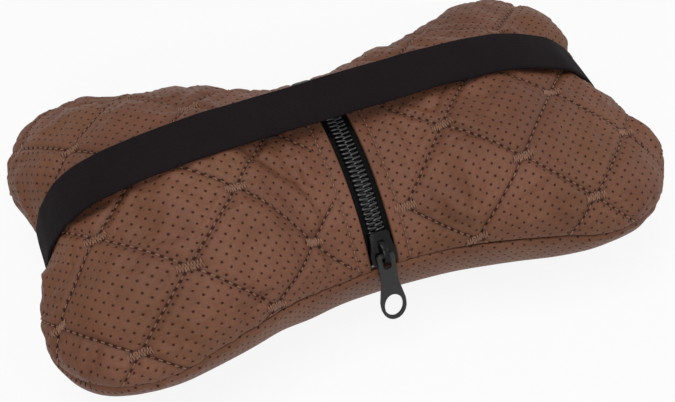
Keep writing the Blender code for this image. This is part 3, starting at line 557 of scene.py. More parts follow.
def thread_piece(name, paths, normals, radius, finish):
    """Many short lengths of thread as one piece: paths holds points a length, normals one for each."""
    forward = unit(np.gradient(paths, axis=1))
    level = unit(np.cross(forward, normals))
    taper = np.ones((paths.shape[1], 1, 1))
    taper[[0, -1]] = 0.45
    rings = ringed(paths, level, np.cross(level, forward), radius * taper, 6)
    return swept_piece(name, rings, finish, sharp=None)


# Materials

def maths(operation, turned=False):
    """A method that adds one Math node to a wire and what else it is given."""
    def method(wire, *others):
        values = (wire, *others)[::-1] if turned else (wire, *others)
        return wire.finish.node("ShaderNodeMath", {"operation": operation}, dict(enumerate(values)))
    return method


class Wire:
    """A node's socket that Python's operators work on, so that shader maths reads as sums."""

    def __init__(self, finish, socket):
        self.finish, self.socket = finish, socket

    __add__, __radd__ = maths("ADD"), maths("ADD", True)
    __sub__, __rsub__ = maths("SUBTRACT"), maths("SUBTRACT", True)
    __mul__, __rmul__ = maths("MULTIPLY"), maths("MULTIPLY", True)
    __truediv__, __rtruediv__ = maths("DIVIDE"), maths("DIVIDE", True)
    greater, fraction, absolute = maths("MAXIMUM"), maths("FRACT"), maths("ABSOLUTE")
    sine, root = maths("SINE"), maths("SQRT")

    def smooth(self, low, high):
        """From 0 at low to 1 at high, smoothly."""
        sockets = {"Value": self, "From Min": low, "From Max": high}
        return self.finish.node("ShaderNodeMapRange", {"interpolation_type": "SMOOTHSTEP"}, sockets)

    def off_whole(self):
        """From -0.5 to 0.5: how far past the nearest whole number."""
        return (self + 0.5).fraction() - 0.5


class Finish:
    """A material, or another set of nodes, that is built node by node."""

    def __init__(self, name, group=None):
        self.material = (bpy.data.materials if group is None else group).new(name)
        self.material.use_nodes = True
        self.tree = self.material.node_tree
        self.tree.nodes.clear()

    def node(self, kind, settings=None, sockets=None, out=0):
        """Add a node: its settings first, then the values or links of its sockets."""
        made = self.tree.nodes.new(kind)
        for key, value in (settings or {}).items():
            setattr(made, key, value)
        for key, value in (sockets or {}).items():
            self.feed(made.inputs[key], value)
        return Wire(self, made.outputs[out])

    def feed(self, socket, value):
        if isinstance(value, Wire):
            self.tree.links.new(value.socket, socket)
        elif isinstance(value, tuple) and socket.type == "RGBA":
            socket.default_value = (*value, 1.0)
        else:
            socket.default_value = value

    def mix(self, share, first, second):
        """Mix two colours."""
        return self.node("ShaderNodeMix", {"data_type": "RGBA"}, {0: share, 6: first, 7: second}, 2)

    def noise(self, at, scale, detail=2.0, roughness=0.5):
        sockets = {"Vector": at, "Scale": scale, "Detail": detail, "Roughness": roughness}
        return self.node("ShaderNodeTexNoise", None, sockets)

    def solid(self):
        """Places in the piece itself, in metres."""
        return self.node("ShaderNodeTexCoord", out="Object")

    def apart(self, vector):
        """The first two numbers of a vector."""
        outputs = self.node("ShaderNodeSeparateXYZ", None, {0: vector}).socket.node.outputs
        return Wire(self, outputs[0]), Wire(self, outputs[1])

    def pair(self, key):
        """The two numbers of a UV map."""
        return self.apart(self.node("ShaderNodeUVMap", {"uv_map": key}))

    def straight_view(self):
        """One for camera, glossy and transmission rays, nothing for the rays that carry soft light."""
        path = self.node("ShaderNodeLightPath").socket.node.outputs
        rays = [Wire(self, path[f"Is {kind} Ray"]) for kind in ("Camera", "Glossy", "Transmission")]
        return rays[0].greater(rays[1]).greater(rays[2])

    def bump(self, height, distance, strength=1.0, under=None):
        sockets = {"Height": height, "Distance": distance, "Strength": strength}
        if under is not None:
            sockets["Normal"] = under
        return self.node("ShaderNodeBump", None, sockets)

    def shine(self, colour, roughness, normal, **constants):
        """End the material in one glossy coat."""
        sockets = {"Base Color": colour, "Roughness": roughness, "Normal": normal}
        sockets.update({key.replace("_", " "): value for key, value in constants.items()})
        return self.end(self.node("ShaderNodeBsdfPrincipled", None, sockets))

    def end(self, surface, kind="ShaderNodeOutputMaterial"):
        self.feed(self.tree.nodes.new(kind).inputs["Surface"], surface)
        return self.material


def toned(colour, *shares):
    """A colour times one share, or times one for each of red, green and blue."""
    return tuple(part * share for part, share in zip(colour, shares * 3))


def leatherette(colour, pitch, hole, stitch):
    """Brown leatherette with a fine grain, pierced in rows set at 45 degrees to the pillow, with painted
    shade in its holes, in its stitch channels and under its tack bars.
    """
    made = Finish("perforated_leatherette")
    at = made.solid()
    u, v = made.pair("cloth")
    across, down = made.pair("quilt")
    step = pitch * math.sqrt(2)
    a, b = ((u + v) / step).fraction() - 0.5, ((u - v) / step).fraction() - 0.5
    from_hole = (a * a + b * b).root() * pitch
    pierced = 1 - from_hole.smooth(hole * 0.36, hole * 0.6)
    collar = 1 - from_hole.smooth(hole * 0.5, hole * 1.2)
    from_middle = u.absolute()
    quilted_part = from_middle.smooth(QUILT_START, QUILT_START + 0.5 * MM)
    needled = needle_holes(across, down, stitch).greater(needle_holes(down, across, stitch)) * quilted_part
    # Painted shade: the colour is darkened along the placket's top-stitch line and in the quilting's channels
    placket_groove_shade = 1 - (from_middle - (HALF_OPENING + PLACKET_STITCH)).absolute().smooth(0.2 * MM, 1.4 * MM)
    drawn = (painted_channel_shade(across).greater(painted_channel_shade(down)) * quilted_part).greater(placket_groove_shade)
    # Painted shade: the colour is darkened under each tack bar
    bar_shade = painted_bar_shade(across, down) * quilted_part
    # Painted shade: the perforations and needle holes are coloured nearly black, and this mask also roughens
    # them
    shaded_holes = pierced.greater(needled)
    grain = made.noise(at, 900.0, 3.0, 0.6)
    pebble = made.node("ShaderNodeTexVoronoi", {"feature": "SMOOTH_F1"}, {"Vector": at, "Scale": 1150.0})
    cloudy = made.noise(at, 28.0, 3.0, 0.55)
    tanned = made.noise(at, 17.0, 2.0, 0.5)
    dark, light = toned(colour, 0.80, 0.76, 0.72), toned(colour, 1.14, 1.20, 1.32)
    body = made.mix(cloudy.smooth(0.32, 0.68), dark, light)
    # Random cloudiness, tan patches and grain, then painted shade in the channels, under the tack bars and in
    # the holes
    for share, tone in (
        (tanned.smooth(0.45, 0.75) * 0.5, (0.86, 0.92, 0.62)),
        (grain.smooth(0.35, 0.7) * 0.35, (0.62,)),
        (drawn * 0.42, (0.36,)),
        (bar_shade * 0.62, (0.22,)),
        (shaded_holes * 0.86, (0.12, 0.07, 0.06)),
    ):
        body = made.mix(share, body, toned(colour, *tone))
    skin = made.bump(grain * 0.5 + pebble * 0.5, 0.22 * MM, 0.5)
    dents = made.bump(1 - pierced - collar * 0.3 - needled * 0.8, 0.5 * MM, 0.8, skin)
    return made.shine(body, 0.50 + cloudy * 0.12 + shaded_holes * 0.35, dents, Specular_IOR_Level=0.26)


def needle_holes(line, run, stitch):
    """Where the needle went through beside each stitch of the lines on which line is whole."""
    aside = line.off_whole().absolute() * QUILT_EDGE
    place = ((run * round(QUILT_EDGE / stitch)).fraction() - 0.5).absolute()
    return place.smooth(0.24, 0.34) * (1 - aside.smooth(0.36 * MM, 0.7 * MM))


def painted_channel_shade(line):
    """Painted shade in a channel of the quilting, darkest at its stitch line."""
    return 1 - (line.off_whole().absolute() * QUILT_EDGE).smooth(0.2 * MM, 2.2 * MM)


def painted_bar_shade(across, down):
    """Painted shade on the pinched cloth under the zigzag bar at each crossing."""
    a, b = (line.off_whole() * HALF_DIAGONAL for line in (across, down))
    lengthwise, crosswise = (a + b).absolute(), (a - b).absolute()
    return (1 - lengthwise.smooth(4.0 * MM, 5.4 * MM)) * (1 - crosswise.smooth(1.8 * MM, 2.9 * MM))


def thread(colour):
    """Twisted polyester thread."""
    made = Finish("brown_thread")
    twist = made.noise(made.solid(), 2600.0, 1.0)
    shade = made.mix(twist.smooth(0.3, 0.7), toned(colour, 0.6), colour)
    return made.shine(shade, 0.5 + twist * 0.15, made.bump(twist, 0.1 * MM, 0.6))


def elastic(colour):
    """Black woven elastic: fine ribs along it, crossed by the weft."""
    made = Finish("black_woven_elastic")
    u, v = made.pair("cloth")
    rib, weft = ((at * (2 * math.pi / apart)).sine() for at, apart in ((v, 1.15 * MM), (u, 0.82 * MM)))
    weave = rib * 0.5 + weft * 0.35 + rib * weft * 0.5
    cloudy = made.noise(made.solid(), 60.0, 2.0)
    shade = made.mix(weave.smooth(-1.0, 1.2), toned(colour, 0.62), toned(colour, 1.35))
    shade = made.mix(cloudy.smooth(0.3, 0.7) * 0.3, shade, toned(colour, 0.7))
    return made.shine(shade, 0.78 + cloudy * 0.1, made.bump(weave, 0.16 * MM, 0.7), Specular_IOR_Level=0.07)


def zip_cloth(colour):
    """The zip's tape, a fine black herringbone."""
    made = Finish("black_zip_tape")
    x, y = made.apart(made.solid())
    zigzag = ((x / (2.2 * MM)).fraction() - 0.5).absolute() * 2.0
    rib = ((y / (1.1 * MM) + zigzag) * (2 * math.pi)).sine()
    shade = made.mix(rib.smooth(-0.8, 0.8), toned(colour, 0.5), toned(colour, 1.5))
    return made.shine(shade, 0.82 + rib * 0.04, made.bump(rib, 0.14 * MM, 0.6), Specular_IOR_Level=0.1)


def nylon(colour):
    made = Finish("black_nylon_coil")
    film = made.noise(made.solid(), 500.0, 2.0)
    shade = made.mix(film, colour, toned(colour, 2.2))
    return made.shine(shade, 0.2 + film * 0.14, made.bump(film, 0.06 * MM, 0.4), Specular_IOR_Level=0.6)


def enamel(name, colour, roughness, coat):
    """Black enamel on cast zinc, a little uneven and rubbed thin here and there."""
    made = Finish(name)
    at = made.solid()
    peel, rubbed = made.noise(at, 700.0, 2.0), made.noise(at, 260.0, 4.0, 0.65)
    shade = made.mix(rubbed.smooth(0.56, 0.78), colour, tuple(part * 2 + 0.004 for part in colour))
    return made.shine(shade, roughness + rubbed * 0.12, made.bump(peel, 0.08 * MM, 0.35), Coat_Weight=coat,
                      Coat_Roughness=0.1, Specular_IOR_Level=0.12)


def fibre(colour):
    made = Finish("white_fibre_filling")
    strands = made.noise(made.solid(), 400.0, 5.0, 0.7)
    shade = made.mix(strands, toned(colour, 0.8), colour)
    return made.shine(shade, 0.9 + strands * 0.05, made.bump(strands, 0.4 * MM, 0.7))


# The panel's settings

def number(name, description, default, **kind):
    return bpy.props.FloatProperty(name=name, description=description, default=default, **kind)


def length(name, description, default):
    return number(name, description, default, unit="LENGTH", precision=5)


def turned(name, description, degrees):
    return number(name, description, math.radians(degrees), subtype="ANGLE")


def tint(name, description, default):
    return bpy.props.FloatVectorProperty(
        name=name, description=description, default=default, subtype="COLOR", size=3, min=0.0, max=1.0
    )


class CoverSettings(bpy.types.PropertyGroup):
    puff: length("Puff", "How high each quilted square stands over its stitch lines", 0.9 * MM)
    channel: length("Channel", "How deep the stitch lines are drawn in", 1.1 * MM)
    stitch: length("Stitch", "Length from one stitch to the next", 3.55 * MM)
    pitch: length("Hole spacing", "Distance between the rows of holes", 3.8 * MM)
    hole: length("Hole width", "Width of one hole", 1.0 * MM)
    colour: tint("Leatherette", "Colour of the leatherette", (0.154, 0.059, 0.030))
    thread: tint("Thread", "Colour of the sewing thread", (0.29, 0.138, 0.082))


class ZipSettings(bpy.types.PropertyGroup):
    pitch: length("Coil pitch", "Distance from one coil turn to the next", 2.1 * MM)
    wire: length("Coil wire", "Thickness of the coil's wire", 1.05 * MM)
    colour: tint("Enamel", "Colour of the slider", (0.003, 0.003, 0.0035))
    tab: tint("Tab", "Colour of the pull tab", (0.034, 0.033, 0.033))


class StrapSettings(bpy.types.PropertyGroup):
    edge: length("Edge radius", "How round the strap's edges are", 0.6 * MM)
    colour: tint("Elastic", "Colour of the elastic", (0.0105, 0.0076, 0.0086))


class StageSettings(bpy.types.PropertyGroup):
    distance: length("Camera distance", "From the pillow's middle to the camera", 0.5)
    lens: number("Lens", "Focal length on a 36 mm sensor", 55.6, unit="CAMERA")
    turn: turned("Turn", "How far round the pillow the camera stands", -19.32)
    height: turned("Elevation", "The camera's angle above the floor", 49.41)
    roll: turned("Roll", "The camera's tilt about its own axis", -2.577)
    floor: tint("Floor", "Colour of the floor", (0.86, 0.86, 0.86))


# Forms that more than one piece needs

class Form:
    """The cover's panels and the line of the strap, worked out once for every piece."""

    def __init__(self):
        half_rows = np.r_[FOLD_ROWS, np.linspace(FOLD_ROWS[-1], 1, HALF_ROWS)[1:]]
        back_columns = np.linspace(-1, 1, BACK_COLUMNS)
        front_grid = np.linspace(-1, 1, FRONT_ROWS), np.linspace(-1, 1, FRONT_COLUMNS)
        self.panels = {
            "left": Cloth(back_point, half_rows, back_columns, 1, -1, QUILT_LEFT),
            "right": Cloth(back_point, half_rows, back_columns, 1, 1, QUILT_RIGHT),
            "front": Cloth(front_point, *front_grid, -1, 1, None),
        }
        for name, cloth in self.panels.items():
            self.finish_panel(name, cloth)
            if cloth.half:
                cloth.points = relaxed(cloth)
            cloth.points = settled(cloth.points)
        self.strap = StrapLine()
        for cloth in self.panels.values():
            if cloth.half:
                cloth.points = self.strap.pressed(cloth.points)
            cloth.outer_normal = cloth.normals(cloth.points)

    def finish_panel(self, name, cloth):
        """Quilt and crease a panel, fold its zip edge and draw it in at the seam."""
        cover = bpy.context.scene.pillow_cover
        x, y, z = np.moveaxis(cloth.base, -1, 0)
        calm = smooth_step(cloth.rim / SEAM_CALM)
        swells = wobble(x, y, SWELL_WIDTH, 11) * SWELL_HEIGHT
        puckers = wobble(x, y, PUCKER_WIDTH, 3) * PUCKER_HEIGHT
        puckers = puckers * bell(cloth.rim, PUCKER_WIDTH) * smooth_step(cloth.rim / PUCKER_START)
        if cloth.half:
            aside = cloth.u - HALF_OPENING
            beside = smooth_step((aside - PLACKET_WIDTH) / PLACKET_CALM)
            relief = quilted(cloth, cover.puff, cover.channel, cover.stitch) * beside
            edge = EDGE_HEIGHT * bell(aside - PLACKET_WIDTH, EDGE_WIDTH)
            top_stitch = TOPSTITCH_HEIGHT * bell(aside - PLACKET_STITCH, TOPSTITCH_WIDTH)
            fold = np.clip(FOLD_RADIUS - aside, 0, FOLD_RADIUS)
            turn_in = FOLD_RADIUS - np.sqrt(np.clip(FOLD_RADIUS**2 - fold**2, 0, None))
            relief = (relief + creased(cloth, name) + swells * beside - edge) * calm - top_stitch - turn_in
        else:
            clear = smooth_step(z / FLOOR_CALM)
            relief, puckers = swells * calm * clear, puckers * clear
        relief = relief + puckers - SEAM_DEPTH * bell(cloth.rim, SEAM_REACH)
        cloth.points = cloth.kept(cloth.base + cloth.normal * relief[..., None])


class StrapLine:
    """Where the strap's underside runs: taut over the back, seen from its side."""

    def __init__(self):
        top = np.array(STRAP_RUN) * MM - [0, SEAM_HEIGHT]
        inward = 1 - STRAP_THICKNESS / np.linalg.norm(top, axis=1, keepdims=True)
        self.ends = {side: seam_end(side) for side in (-1, 1)}
        hull = self.upper(sorted((top * inward).tolist() + [[end[0], 0.0] for end in self.ends.values()]))
        x, z = eased(along(np.array(hull), np.linspace(0, 1, 600)), 31).T
        order = np.argsort(np.arctan2(z, x))
        self.angles, self.radii = np.arctan2(z, x)[order], np.hypot(x, z)[order]

    @staticmethod
    def upper(points):
        """The corners of a tight line over points that are in order along X."""
        hull = []
        for p in points:
            while len(hull) > 1:
                a, b = hull[-2], hull[-1]
                if (b[0] - a[0]) * (p[1] - a[1]) - (b[1] - a[1]) * (p[0] - a[0]) < 0:
                    break
                hull.pop()
            hull.append(p)
        return hull

    def radius(self, angle):
        return np.interp(angle, self.angles, self.radii)

    def pressed(self, points):
        """Push the cover's points back under the strap, and less so the farther they are beside it."""
        x, y, z = points[..., 0], points[..., 1], points[..., 2] - SEAM_HEIGHT
        above = np.clip(z, 0, None)
        angle, radius = np.arctan2(above, x), np.hypot(x, above)
        beside = np.clip(np.abs(y - self.drift(angle)) - STRAP_WIDTH / 2 - 0.5 * MM, 0, None)
        rise = beside * PRESS_SLOPE + (beside / PRESS_CURVE_WIDTH) ** 2 * PRESS_CURVE_HEIGHT
        share = np.minimum(1, (self.radius(angle) - PRESS_DEPTH + rise) / np.maximum(radius, 1e-6))
        share = 1 - (1 - share) * smooth_step(z / (3 * MM) + 1)
        return np.stack([x * share, y, z * share + SEAM_HEIGHT], -1)

    def drift(self, angle):
        """How far the strap's middle line has wandered toward +Y, at an angle round the pillow."""
        near_right, near_left = (1 - smooth_step(a / DRIFT_ANGLE) for a in (angle, math.pi - angle))
        return self.ends[1][1] * near_right + self.ends[-1][1] * near_left


@functools.cache
def form():
    return Form()


def finish_of(name):
    """A finish by its name, made on its first use."""
    scene = bpy.context.scene
    cover, zipper, strap = scene.pillow_cover, scene.pillow_zip, scene.pillow_strap
    makers = {
        "perforated_leatherette": lambda: leatherette(
            tuple(cover.colour), cover.pitch, cover.hole, cover.stitch
        ),
        "brown_thread": lambda: thread(tuple(cover.thread)),
        "black_woven_elastic": lambda: elastic(tuple(strap.colour)),
        "black_zip_tape": lambda: zip_cloth((0.0055, 0.0055, 0.006)),
        "black_nylon_coil": lambda: nylon((0.004, 0.004, 0.005)),
        "black_enamel": lambda: enamel("black_enamel", tuple(zipper.colour), 0.18, 0.12),
        "grey_enamel": lambda: enamel("grey_enamel", tuple(zipper.tab), 0.42, 0.05),
        "white_fibre_filling": lambda: fibre((0.75, 0.74, 0.71)),
    }
    return bpy.data.materials.get(name) or makers[name]()


# Operators, one for each piece or group of like pieces

class BuildCover(bpy.types.Operator):
    """Make the quilted panels of the cover"""

    bl_idname = "pillow.build_cover"
    bl_label = "Quilted cover"

    def execute(self, context):
        leather = finish_of("perforated_leatherette")
        for name, node, cloth in (
            ("cover_back_left", "back_panel_left", form().panels["left"]),
            ("cover_back_right", "back_panel_right", form().panels["right"]),
            ("cover_front", "front_panel", form().panels["front"]),
        ):
            inner = cloth.kept(cloth.points - cloth.outer_normal * SHELL_WALL)
            maps = {
                "cloth": np.stack([cloth.u * cloth.side + (0 if cloth.half else 1), cloth.v], -1),
                "quilt": np.stack(cloth.squares() if cloth.half else [cloth.u * 0 + 0.5] * 2, -1),
            }
            panel = shell_piece(name, cloth.points, inner, maps, leather, cloth.up * cloth.side < 0)
            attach(panel, "pillow")
            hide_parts(node)
        return {"FINISHED"}


class BuildStitches(bpy.types.Operator):
    """Sew the quilting's stitch lines and the lines beside the zip"""

    bl_idname = "pillow.build_stitches"
    bl_label = "Stitches"

    def execute(self, context):
        stitch = context.scene.pillow_cover.stitch
        for name in ("left", "right"):
            cloth = form().panels[name]
            lines = [self.quilt_lines(cloth, stitch), self.placket_lines(cloth, stitch * 0.8)]
            starts, ends = (np.vstack(part) for part in zip(*lines))
            piece = self.sew(f"stitches_{name}", cloth, starts, ends)
            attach(piece, "pillow")
        return {"FINISHED"}

    def quilt_lines(self, cloth, stitch):
        """The two ends on the cloth of every stitch of the quilting."""
        count = round(QUILT_EDGE / stitch)
        squares = np.arange(-QUILT_REACH, QUILT_REACH)
        within = (np.arange(count) + 0.5) / count
        lines, places = (g.ravel() for g in np.meshgrid(squares, (squares[:, None] + within).ravel()))
        half = 0.27 / count
        starts, ends = (
            np.vstack([
                np.stack([a + b, a - b], -1) for a, b in ((lines, places + move), (places + move, lines))
            ]) * HALF_DIAGONAL + cloth.origin
            for move in (-half, half)
        )
        keep = np.minimum(starts[:, 0], ends[:, 0]) > QUILT_START
        return starts[keep], ends[keep]

    def placket_lines(self, cloth, stitch):
        reach = cloth.v[0].max() - 3 * MM
        at = np.arange(-reach, reach, stitch)
        u = np.full_like(at, HALF_OPENING + PLACKET_STITCH)
        return np.stack([u, at], -1), np.stack([u, at + stitch * 0.6], -1)

    def sew(self, name, cloth, starts, ends):
        """Stitches that come up through the cloth at their starts and go down at their ends."""
        share = np.array([0.0, 0.12, 0.32, 0.5, 0.68, 0.88, 1.0])[:, None]
        lift = np.array([-0.5, 0.1, 0.32, 0.38, 0.32, 0.1, -0.5])[:, None] * MM
        u, v = np.moveaxis(between(starts[:, None], ends[:, None], share), -1, 0)
        points, normals, rims, held = cloth.on(u, v)
        keep = held.all(1) & (rims[:, 3] > 1.5 * MM)
        points = points + normals * lift
        return thread_piece(name, points[keep], normals[keep], STITCH_RADIUS, finish_of("brown_thread"))


class BuildTacks(bpy.types.Operator):
    """Sew the zigzag bar at each crossing of the quilting"""

    bl_idname = "pillow.build_tacks"
    bl_label = "Tack bars"

    strands, length, width = 18, 9.8 * MM, 4.2 * MM

    def execute(self, context):
        u, v = self.zigzag()
        lift = np.array([-0.25, 0.3, 0.45, 0.3, -0.25])[:, None] * MM
        squares = np.arange(-QUILT_REACH, QUILT_REACH)
        a, b = (g.ravel() for g in np.meshgrid(squares, squares))
        for name in ("left", "right"):
            cloth = form().panels[name]
            middle = np.stack([a + b, a - b], -1) * HALF_DIAGONAL + cloth.origin
            middle = middle[middle[:, 0] > QUILT_START][..., None, None]
            points, normals, _, held = cloth.on(middle[:, 0] + u, middle[:, 1] + v)
            points = points + normals * lift
            keep = held.all((1, 2)) & (points[..., 2].min((1, 2)) > 1.0 * MM)
            points, normals = (table[keep].reshape(-1, *table.shape[2:]) for table in (points, normals))
            piece = thread_piece(f"tack_bars_{name}", points, normals, TACK_RADIUS, finish_of("brown_thread"))
            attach(piece, "pillow")
        return {"FINISHED"}

    def zigzag(self):
        """Points of each strand of a bar, along it and across it."""
        x = np.linspace(-self.length / 2, self.length / 2, self.strands + 1)
        y = np.where(np.arange(self.strands + 1) % 2, self.width / 2, -self.width / 2)
        y = y * (1 + 0.1 * wobble(x, y, 3 * MM, 21))
        share = np.linspace(0, 1, 5)
        return [between(side[:-1, None], side[1:, None], share) for side in (x, y)]


class BuildFilling(bpy.types.Operator):
    """Make the cushion inside the cover"""

    bl_idname = "pillow.build_filling"
    bl_label = "Inner cushion"

    rows, columns = 61, 41
    share, height_share, least_height = 0.93, 0.80, 6.0 * MM

    def execute(self, context):
        shares = np.linspace(-1, 1, self.rows), np.linspace(-1, 1, self.columns)
        sigma, tau = np.meshgrid(*shares, indexing="ij")
        s, t = spread(sigma), spread(tau)
        rim = rim_loop(*sigma.shape)
        halves = []
        for rise, lobe, up, gap in ((WAIST_RISE, LOBE_RISE, 1, 7 * MM), (WAIST_DROP, LOBE_DROP, -1, 3 * MM)):
            height = np.clip(dome(s, t, rise, lobe) * self.height_share - gap, 0, None)
            z = np.maximum(SEAM_HEIGHT + up * height, self.least_height)
            half = settled(np.concatenate([plan(s, t) * self.share, z[..., None]], -1)).reshape(-1, 3)
            half[rim, 2] = SEAM_HEIGHT
            halves.append(half)
        faces = np.vstack([grid_faces(*sigma.shape), grid_faces(*sigma.shape, sigma.size, True)])
        same = np.arange(2 * sigma.size)
        same[rim + sigma.size] = rim
        used, small = np.unique(same[faces], return_inverse=True)
        finish = finish_of("white_fibre_filling")
        piece = new_piece("cushion", np.vstack(halves)[used], small.reshape(faces.shape), finish)
        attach(piece, "pillow")
        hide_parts("inner_cushion")
        return {"FINISHED"}


def on_zip(x, run, height):
    """A point of the zip: x across it, run along the tape's top and height above that."""
    angle = run / TAPE_RADIUS
    radius = TAPE_RADIUS + height
    y, z = WAIST_SETTLED[1] * MM + radius * np.sin(angle), ZIP_CENTRE_Z + radius * np.cos(angle)
    return np.stack([x + 0 * angle, y, z], -1)


class BuildZip(bpy.types.Operator):
    """Make the zip's two coils and finish its tapes, slider and tab"""

    bl_idname = "pillow.build_zip"
    bl_label = "Coil zip"

    def execute(self, context):
        zipper = context.scene.pillow_zip
        for side, name in ((-1, "left"), (1, "right")):
            coil = self.coil(f"coil_{name}", side, zipper.pitch, zipper.wire)
            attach(coil, "pillow")
            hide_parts(f"zipper_coil_{name}")
            self.dress(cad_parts[f"zipper_tape_{name}"], "black_zip_tape", 0.15 * MM)
        self.dress(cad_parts["zipper_slider"], "black_enamel", 0.22 * MM)
        self.dress(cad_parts["pull_tab"], "grey_enamel", 0.3 * MM)
        return {"FINISHED"}

    def dress(self, node, finish, edge):
        """Give a piece of the model its finish, and round its edges."""
        node.data.materials.clear()
        node.data.materials.append(finish_of(finish))
        weld = node.modifiers.new("weld", "WELD")
        weld.merge_threshold = 0.01 * MM
        bevel = node.modifiers.new("edges", "BEVEL")
        bevel.width, bevel.segments = edge, 3
        bevel.limit_method, bevel.angle_limit = "ANGLE", math.radians(38)
        bevel.use_clamp_overlap = bevel.harden_normals = True
        node.data.shade_smooth()

    def coil(self, name, side, pitch, wire):
        """One half of the coil: a flattened helix whose heads lap the other half's at the middle."""
        turns = int(2 * (TAPE_END - COIL_TRIM) / pitch)
        start = -turns * pitch / 2 + (pitch / 2 if side > 0 else 0)
        phase = np.arange(turns * COIL_STEPS + 1) / COIL_STEPS
        angle = 2 * math.pi * (phase % 1)
        across, upward = (COIL_BACK, COIL_HEAD, np.cos(angle)), (COIL_LOW, COIL_HIGH, np.sin(angle))
        x, z = (
            (high + low) / 2 - (high - low) / 2 * np.sign(swing) * np.abs(swing) ** COIL_SQUARENESS
            for low, high, swing in (across, upward)
        )
        path = np.stack([x, start + phase * pitch, z], -1)
        forward = unit(np.gradient(path, axis=0))
        flat = unit(np.cross(forward, [0.0, 1.0, 0.0]))
        rings = ringed(path, flat, np.cross(flat, forward), wire / 2, COIL_SIDES)
        parted = COIL_APART * smooth_step((SLIDER_RUN + PARTING_START - path[:, 1]) / PARTING_LENGTH)[:, None]
        placed = on_zip(side * (parted - rings[..., 0]), rings[..., 1], rings[..., 2])
        return swept_piece(name, placed, finish_of("black_nylon_coil"))


class BuildStrap(bpy.types.Operator):
    """Make the elastic strap that hooks the pillow to a head restraint"""

    bl_idname = "pillow.build_strap"
    bl_label = "Elastic strap"

    # Where the taut run ends, how far it lies off the cover, and how its weave swings in width and height
    end_angle, lift = 0.10, 0.1 * MM
    width_swing, thickness_swing, height_swing = 0.006, 0.06, 0.2 * MM

    def execute(self, context):
        line = form().strap
        path, even = self.path(line)
        forward = unit(np.gradient(path, axis=0))
        out = np.cross([0.0, 1.0, 0.0], forward)
        out *= np.where(out[:, 2:] < -0.2, -1, 1)
        facing = np.sign(((path - [0, 0, SEAM_HEIGHT]) * out).sum(1, keepdims=True))
        out *= np.where(facing == 0, 1, facing)
        profile = self.profile(context.scene.pillow_strap.edge)
        drift = line.drift(np.arctan2(path[:, 2] - SEAM_HEIGHT, path[:, 0])) - path[:, 1]
        y = profile[:, 0] * (1 + self.width_swing * wobble(even, 0, 22 * MM, 8)) + drift[:, None]
        height = profile[:, 1] * (1 + self.thickness_swing * wobble(even, 0, 30 * MM, 5))
        height = height + self.height_swing * wobble(even, y, 26 * MM, 9) + self.lift
        rings = path[:, None] + out[:, None] * height[..., None]
        rings[..., 1] += y
        cloth = np.stack(np.broadcast_arrays(even, profile[:, 0]), -1)
        strap = swept_piece("strap", rings, finish_of("black_woven_elastic"), {"cloth": cloth})
        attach(strap, "pillow")
        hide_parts("elastic_strap")
        return {"FINISHED"}

    def path(self, line):
        """Points of the strap's underside from end to end, and how far along it each is."""
        angle = np.linspace(self.end_angle, math.pi - self.end_angle, 260)
        reach = line.radius(angle)
        over = np.stack([reach * np.cos(angle), 0 * angle, SEAM_HEIGHT + reach * np.sin(angle)], -1)
        tail = np.array(STRAP_TAIL) * MM
        rough = np.vstack([settled(tail), over, settled(tail * [-1, 1, 1])[::-1]])
        share = np.linspace(0, 1, 340)
        return eased(along(rough, share), 9), share[:, None] * run_lengths(rough)[-1]

    def profile(self, edge):
        """The strap's section: across it, and above its underside."""
        flat, half = STRAP_WIDTH / 2 - edge, STRAP_THICKNESS / 2
        across = np.linspace(-flat, flat, 17)
        turn = np.linspace(-math.pi / 2, math.pi / 2, 5)[1:-1]
        right = np.stack([flat + edge * np.cos(turn), half + half * np.sin(turn)], -1)
        under = np.stack([across, np.zeros_like(across)], -1)
        over = np.stack([across[::-1], np.full_like(across, STRAP_THICKNESS)], -1)
        return np.vstack([under, right, over, [0, STRAP_THICKNESS] - right])


# The stage: where the camera and lights aim, and each light's place, size, power and colour
MIDDLE = Vector((0, 0, 40 * MM))
LENS_SHIFT = (0.0072, -0.0405)
HALF_FLOOR, FLOOR_WHITENESS = 3.0, 0.88
LIGHTS = (
    ("key_light", (-0.25, -0.05, 1.2), 0.7, 6.6, (1.0, 0.98, 0.96)),
    ("side_light", (1.1, -0.45, 0.75), 0.8, 3.9, (0.95, 0.97, 1.0)),
    ("front_light", (-0.35, -1.15, 0.9), 0.8, 6.2, (1.0, 0.99, 0.97)),
)


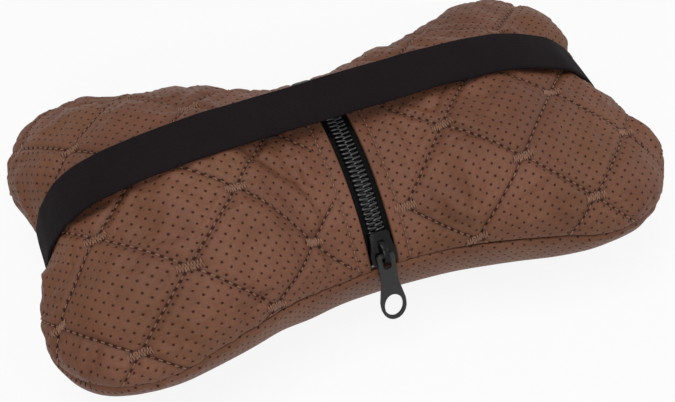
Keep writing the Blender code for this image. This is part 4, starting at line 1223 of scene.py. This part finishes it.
class BuildStage(bpy.types.Operator):
    """Set the floor, the lights and the camera"""

    bl_idname = "pillow.build_stage"
    bl_label = "Stage"

    def execute(self, context):
        stage = context.scene.pillow_stage
        self.floor(tuple(stage.floor))
        self.lights(context.scene)
        self.camera(context.scene, stage)
        context.scene.view_settings.view_transform = "Standard"
        return {"FINISHED"}

    def floor(self, colour):
        made = Finish("pale_floor")
        shade = made.mix(made.noise(made.solid(), 6.0, 2.0), toned(colour, 0.99), colour)
        matt = made.node("ShaderNodeBsdfDiffuse", None, {"Color": shade})
        white = made.node("ShaderNodeEmission", None, {"Color": (1.0, 1.0, 1.0), "Strength": 1.0})
        shown = made.straight_view() * FLOOR_WHITENESS
        finish = made.end(made.node("ShaderNodeMixShader", None, {0: shown, 1: matt, 2: white}))
        corners = np.array([(-1, -1, 0), (1, -1, 0), (1, 1, 0), (-1, 1, 0)]) * HALF_FLOOR
        floor = new_piece("floor", corners, [(0, 1, 2, 3)], finish)

    def lights(self, scene):
        room = Finish("soft_room", bpy.data.worlds)
        lit = room.node("ShaderNodeBackground", None, {"Color": (0.93, 0.96, 1.0), "Strength": 0.28})
        white = room.node("ShaderNodeBackground", None, {"Color": (1.0, 1.0, 1.0), "Strength": 1.0})
        both = room.node("ShaderNodeMixShader", None, {0: room.straight_view(), 1: lit, 2: white})
        scene.world = room.end(both, "ShaderNodeOutputWorld")
        for name, place, size, power, colour in LIGHTS:
            lamp = bpy.data.lights.new(name, "AREA")
            lamp.shape, lamp.size, lamp.energy, lamp.color = "SQUARE", size, power, colour
            light = bpy.data.objects.new(name, lamp)
            light.location = place
            light.rotation_euler = (MIDDLE - light.location).to_track_quat("-Z", "Y").to_euler()
            scene.collection.objects.link(light)

    def camera(self, scene, stage):
        turn, height, roll = stage.turn, stage.height, stage.roll
        level = Vector((math.cos(turn), math.sin(turn), 0))
        back = Vector((level.y, -level.x, math.tan(height))).normalized()
        upright = back.cross(level)
        right = level * math.cos(roll) + upright * math.sin(roll)
        top = upright * math.cos(roll) - level * math.sin(roll)
        lens = bpy.data.cameras.new("camera")
        lens.lens, lens.sensor_width = stage.lens, 36.0
        lens.shift_x, lens.shift_y = LENS_SHIFT
        lens.clip_start, lens.clip_end = 10 * MM, 20.0
        camera = bpy.data.objects.new("camera", lens)
        placed = Matrix((right, top, back)).transposed().to_4x4()
        placed.translation = MIDDLE + back * stage.distance
        camera.matrix_world = placed
        scene.collection.objects.link(camera)
        scene.camera = camera


BUILDERS = (BuildStage, BuildCover, BuildStitches, BuildTacks, BuildFilling, BuildZip, BuildStrap)
SETTINGS = {
    "pillow_cover": CoverSettings,
    "pillow_zip": ZipSettings,
    "pillow_strap": StrapSettings,
    "pillow_stage": StageSettings,
}


class PillowPanel(bpy.types.Panel):
    """The pillow's operators and settings"""

    bl_idname = "VIEW3D_PT_pillow"
    bl_label = "Neck pillow"
    bl_space_type = "VIEW_3D"
    bl_region_type = "UI"
    bl_category = "Neck pillow"

    def draw(self, context):
        for builder in BUILDERS:
            self.layout.operator(builder.bl_idname)
        for name, group in SETTINGS.items():
            box = self.layout.box()
            for key in group.__annotations__:
                box.prop(getattr(context.scene, name), key)


def register():
    for kind in (*SETTINGS.values(), *BUILDERS, PillowPanel):
        bpy.utils.register_class(kind)
    for name, group in SETTINGS.items():
        setattr(bpy.types.Scene, name, bpy.props.PointerProperty(type=group))


def unregister():
    for name in SETTINGS:
        delattr(bpy.types.Scene, name)
    for kind in (PillowPanel, *BUILDERS[::-1], *SETTINGS.values()):
        bpy.utils.unregister_class(kind)


def main():
    register()
    for builder in BUILDERS:
        group, name = builder.bl_idname.split(".")
        getattr(getattr(bpy.ops, group), name)()


if __name__ == "__main__":
    main()
